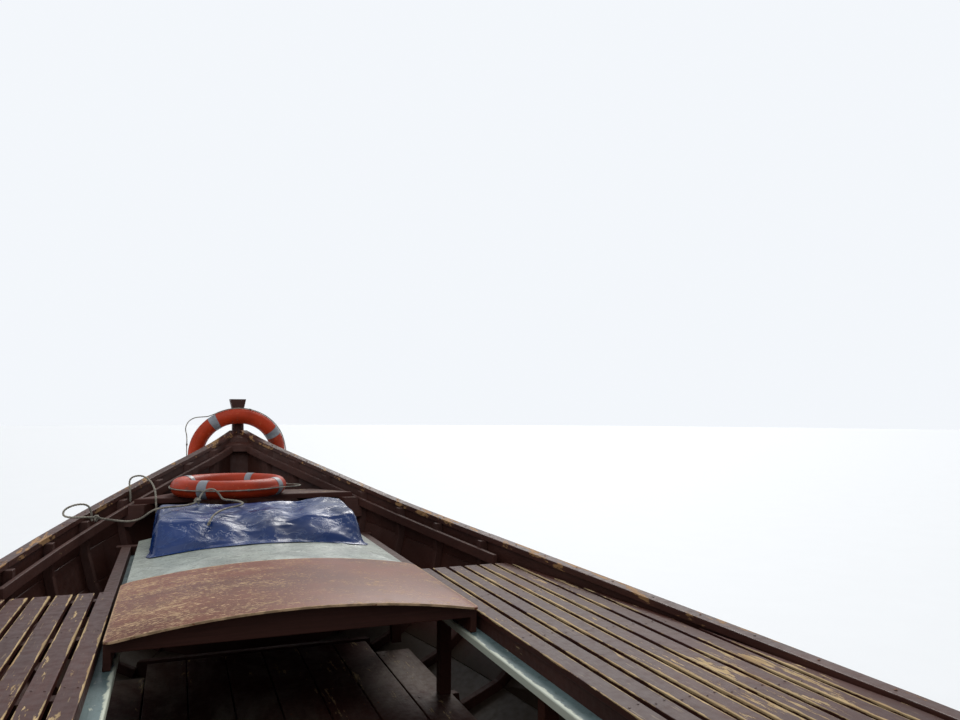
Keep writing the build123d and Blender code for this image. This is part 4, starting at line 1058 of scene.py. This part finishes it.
class BOAT_OT_fastenings(bpy.types.Operator):
    """Screws in the bench slats, nails in the rails and the sole, rivets along the planking's seams"""

    bl_idname = "boat.fastenings"
    bl_label = "Fastenings"

    def execute(self, context):
        size, iron = sizes(), iron_skin()
        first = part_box("bench_slats_starboard")[0].x + size.slat_wide / 2
        for side, sign in SIDES:
            spots = [
                (sign * (first + i * size.slat_pitch + shift), y + 0.4 * shift, i + y)
                for y in SLAT_ROWS for i in range(SLATS) for shift in (-SCREW_SHIFT, SCREW_SHIFT)
            ]
            places = on_top(f"bench_slats_{side}", spots, 0.6, SLAT_LEVEL)
            screws = heads(f"slat_screws_{side}", size.screw, 0.0007, places)
            finished(screws, slat_paint())

        places = []
        for k in RAIL_NAILS:
            for _, sign in SIDES:
                across = [(sign * x * 0.004, k * RAIL_PITCH + RAIL_START, k) for x in range(370)]
                found = on_top("cap_rails", across, 1.5, 0.0)
                places += found[len(found) // 2:][:1]
        finished(heads("rail_nails", size.nail, 0.0012, places), iron)

        spots = [
            (SOLE_EDGE + BOARD_HALF + k * SOLE_PITCH + shift, y, k)
            for y in SOLE_ROWS for k in range(SOLE_BOARDS) for shift in (-NAIL_SHIFT, NAIL_SHIFT)
        ]
        places = on_top("sole", spots, 0.5, -0.005)
        finished(heads("sole_nails", size.nail, 0.0010, places), iron)

        for side, sign in SIDES:
            rivets = heads(f"plank_rivets_{side}", size.rivet, 0.0016, self.rivet_places(side, sign))
            finished(rivets, hull_paint())
        return {"FINISHED"}

    def rivet_places(self, side, sign):
        """Places on the planking outside each frame, a little above and below every seam."""
        mesh = bmesh.new()
        mesh.from_mesh(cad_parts["side_frames"].data)
        bmesh.ops.remove_doubles(mesh, verts=mesh.verts, dist=0.0001)
        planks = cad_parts[f"planking_{side}"]
        touch, narrow, outside, thick = 0.004, 0.05, 0.2, 0.05
        todo, places = {v for v in mesh.verts if v.co.x * sign > 0}, []
        while todo:
            group, front = set(), [todo.pop()]
            while front:
                vert = front.pop()
                group.add(vert)
                for other in [edge.other_vert(vert) for edge in vert.link_edges]:
                    if other in todo:
                        todo.discard(other)
                        front.append(other)
            near = []
            for vert in group:
                found, spot, _, _ = planks.closest_point_on_mesh(vert.co)
                if found and (spot - vert.co).length < touch:
                    near.append(vert.co.copy())
            near.sort(key=lambda p: -p.z)
            seams = [(a + b) / 2 for a, b in zip(near[::2], near[1::2])]
            for a, b in zip(seams, seams[1:]):
                for share in (0.18, 0.82) if (b - a).length > narrow else (0.5,):
                    middle = a.lerp(b, share)
                    _, _, normal, _ = planks.closest_point_on_mesh(middle)
                    inward = normal.x * sign < 0 and abs(normal.x) > 0.9
                    out = Vector((sign, 0, 0)) if inward else -normal
                    hit, spot, face, _ = planks.ray_cast(middle + out * outside, -out)
                    if hit and face.dot(out) > 0.5 and (spot - middle).length < thick:
                        places.append(facing(spot, face))
        mesh.free()
        return places


def ease(node, width, angle=40, segments=2):
    """Round the sharp edges of a solid of the boat without touching its mesh."""
    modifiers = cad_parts[node].modifiers
    modifiers.new("Weld", "WELD").merge_threshold = 0.00005
    set_all(modifiers.new("Bevel", "BEVEL"), width=width, segments=segments, limit_method="ANGLE",
            angle_limit=math.radians(angle), harden_normals=False)


class BOAT_OT_finishes(bpy.types.Operator):
    """Worn paint, bare edges, rust and tarnish on the boat's own timbers and fittings"""

    bl_idname = "boat.finishes"
    bl_label = "Timbers and fittings"

    def execute(self, context):
        inboard = min(abs(v.co.x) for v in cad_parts["ledge_rails"].data.vertices)
        slats, planks = ("bench_slats_port", "bench_slats_starboard"), ("planking_port", "planking_starboard")
        for material, nodes in (
            (hull_paint(), (*planks, "rudder")),
            (paint("frame_paint", "hull", 0.9, along="Z", chips=0.35, gloss=0.5),
             ("side_frames", "thole_pins", "aprons")),
            (paint("rail_paint", "hull", 1.15, "rail_bare", chips=1.2, gloss=0.40, wet=0.1),
             ("cap_rails", "rub_rails")),
            (paint("inwale_paint", "hull", chips=0.55, gloss=0.45),
             ("inwales", "bench_risers", "carlings", "engine_bed")),
            (paint("beam_paint", "hull", along="X", chips=0.35, gloss=0.5),
             ("floor_timbers", "bench_bearers", "breasthooks", "fore_beam", "sheet_hoops", "thwart_cleats",
              "cover_frame")),
            (paint("post_paint", "hull", 0.8, along="Z", chips=0.5, gloss=0.42), ("stem", "sternpost")),
            (paint("keel_paint", "keel", chips=0.35, gloss=0.55), ("keel",)),
            (slat_paint(), slats),
            (paint("board_paint", "bench", 0.9, pale=0.8, chips=0.9, gloss=0.5, dust=0.5),
             ("sole", "engine_box", "engine_lid")),
            (paint("thwart_paint", "bench", along="X", chips=0.8, gloss=0.45, dust=0.2),
             ("fore_thwart", "aft_deck")),
            (stock("cover_wood", cover_wood, tint("cover"), tint("fleck")), ("cover_board",)),
            (stock("ledge_paint", ledge_wood, tint("ledge"), tint("ledge_rubbed_and_highlight"), inboard), ("ledge_rails",)),
            (paint("tiller_wood", "cover", 1.4, chips=0.4, gloss=0.35), ("tiller",)),
            (iron_skin(), ("heel_iron", "lid_straps", "box_hinges", "gudgeons", "pintles", "mooring_eye")),
            (stock("bronze", turned_metal, tint("bronze"), tint("bronze", 0.3)), ("stern_tube", "propeller")),
            (stock("shaft_steel", turned_metal, tint("steel"), tint("steel", 0.4)), ("propeller_shaft",)),
            (stock("engine_paint", old_iron, tint("engine"), tint("engine", 0.4)), ("engine",)),
        ):
            for node in nodes:
                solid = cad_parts[node]
                solid.data.materials.clear()
                solid.data.materials.append(material)
        for node in (
            "cap_rails", "rub_rails", "inwales", "carlings", "ledge_rails", "sole", "engine_box", "stem",
            "sternpost", "rudder", "tiller", "breasthooks", "aft_deck", "fore_beam", "bench_bearers",
            "cover_frame", "sheet_hoops", "thwart_cleats", "side_frames", "heel_iron",
        ):
            ease(node, sizes().ease)
        for node in slats:
            ease(node, SLAT_EASE)
        ease("cover_board", COVER_EASE)
        for node in planks:
            ease(node, SEAM_EASE, angle=60, segments=1)
        return {"FINISHED"}


def waterline(steps=120):
    """Half breadths of the planking's outside at the waterline, from stern to bow."""
    low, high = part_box("planking_starboard")
    rows = [low.y + (high.y - low.y) * i / steps for i in range(steps + 1)]
    spots = [cast("planking_starboard", (2.5, y, 0.0), (-1, 0, 0)) for y in rows]
    return [(spot.x, y) for spot, y in zip(spots, rows) if spot]


def water_floor(radius):
    """Flat floor at the waterline, from the hull's outline to a far circle."""
    edge, under, past = waterline(), 0.012, 0.01
    hull = [(x - under, y) for x, y in edge]
    hole = [(0.0, edge[0][1] - past), *hull, (0.0, edge[-1][1] + past), *((-x, y) for x, y in reversed(hull))]
    points, faces, count = [], [], len(hole)
    for reach in (0.0, 0.15, 1.0):
        for x, y in hole:
            a = math.atan2(y, x)
            spot = Vector((x, y)).lerp(Vector((math.cos(a), math.sin(a))) * radius, reach ** 2)
            points.append((spot.x, spot.y, 0.0))
    for k in (0, count):
        for i in range(count):
            j = (i + 1) % count
            faces.append((k + i, k + count + i, k + count + j, k + j))
    floor = mesh_piece("floor", points, faces)
    if floor.data.polygons[0].normal.z < 0:
        floor.data.flip_normals()
    return floor


class BOAT_OT_stage(bpy.types.Operator):
    """Pale floor at the waterline with the hull's own opening in it, and soft light"""

    bl_idname = "boat.stage"
    bl_label = "Floor and light"

    def execute(self, context):
        floor = water_floor(sizes().floor)
        plain = Finish("floor")
        pale = plain.noise(3, detail=3).mix(tint("floor", 0.97), tint("floor"))
        floor.data.materials.append(plain.done(pale, 0.7))

        world = bpy.data.worlds.new("studio")
        context.scene.world = world
        world.use_nodes = True
        nodes, links = world.node_tree.nodes, world.node_tree.links
        both = nodes.new("ShaderNodeMixShader")
        for socket, back, colour, strength in (
            (1, nodes["Background"], (0.80, 0.86, 0.94, 1), 0.42),
            (2, nodes.new("ShaderNodeBackground"), (0.90, 0.93, 0.97, 1), 1.0),
        ):
            back.inputs["Color"].default_value = colour
            back.inputs["Strength"].default_value = strength
            links.new(back.outputs[0], both.inputs[socket])
        path = nodes.new("ShaderNodeLightPath")
        seen = path.outputs["Is Camera Ray"]
        for kind in ("Is Glossy Ray", "Is Transmission Ray"):
            either = nodes.new("ShaderNodeMath")
            either.operation = "MAXIMUM"
            links.new(seen, either.inputs[0])
            links.new(path.outputs[kind], either.inputs[1])
            seen = either.outputs[0]
        links.new(seen, both.inputs[0])
        links.new(both.outputs[0], nodes["World Output"].inputs["Surface"])

        # Each sun's bearing from the bow, its height and its softness are in degrees.
        for name, bearing, height, spread, power, colour in (
            ("bow_light", 28, 42, 24, 2.0, (1.0, 0.975, 0.94)),
            ("quarter_light", 215, 55, 60, 0.9, (0.95, 0.98, 1.0)),
        ):
            data = set_all(bpy.data.lights.new(name, "SUN"), angle=math.radians(spread), energy=power,
                           color=colour)
            across, up = math.radians(bearing), math.radians(height)
            toward = Vector((math.sin(across) * math.cos(up), math.cos(across) * math.cos(up), math.sin(up)))
            link(bpy.data.objects.new(name, data)).matrix_world = facing(toward * 20, toward)
        context.scene.view_settings.view_transform = "Standard"
        return {"FINISHED"}


class BOAT_PT_panel(bpy.types.Panel):
    """Steps that dress the boat, in order"""

    bl_idname = "BOAT_PT_panel"
    bl_label = "Passenger boat"
    bl_space_type = "VIEW_3D"
    bl_region_type = "UI"
    bl_category = "Boat"

    def draw(self, context):
        for step in STEPS:
            self.layout.operator(step.bl_idname)
        for title, group in (("Colours", context.scene.boat_colours), ("Sizes", context.scene.boat_sizes)):
            self.layout.label(text=title)
            for name in group.__annotations__:
                self.layout.prop(group, name)


STEPS = (
    BOAT_OT_camera, BOAT_OT_ropes, BOAT_OT_grab_lines, BOAT_OT_lifebuoys, BOAT_OT_tarpaulin, BOAT_OT_grey_sheet,
    BOAT_OT_fastenings, BOAT_OT_finishes, BOAT_OT_stage,
)
CLASSES = (BoatColours, BoatSizes, *STEPS, BOAT_PT_panel)


def register():
    for kind in CLASSES:
        bpy.utils.register_class(kind)
    bpy.types.Scene.boat_colours = bpy.props.PointerProperty(type=BoatColours)
    bpy.types.Scene.boat_sizes = bpy.props.PointerProperty(type=BoatSizes)


def unregister():
    del bpy.types.Scene.boat_sizes
    del bpy.types.Scene.boat_colours
    for kind in reversed(CLASSES):
        bpy.utils.unregister_class(kind)


def main():
    register()
    bpy.ops.boat.camera()
    bpy.ops.boat.ropes()
    bpy.ops.boat.grab_lines()
    bpy.ops.boat.lifebuoys()
    bpy.ops.boat.tarpaulin()
    bpy.ops.boat.grey_sheet()
    bpy.ops.boat.fastenings()
    bpy.ops.boat.finishes()
    bpy.ops.boat.stage()


if __name__ == "__main__":
    main()
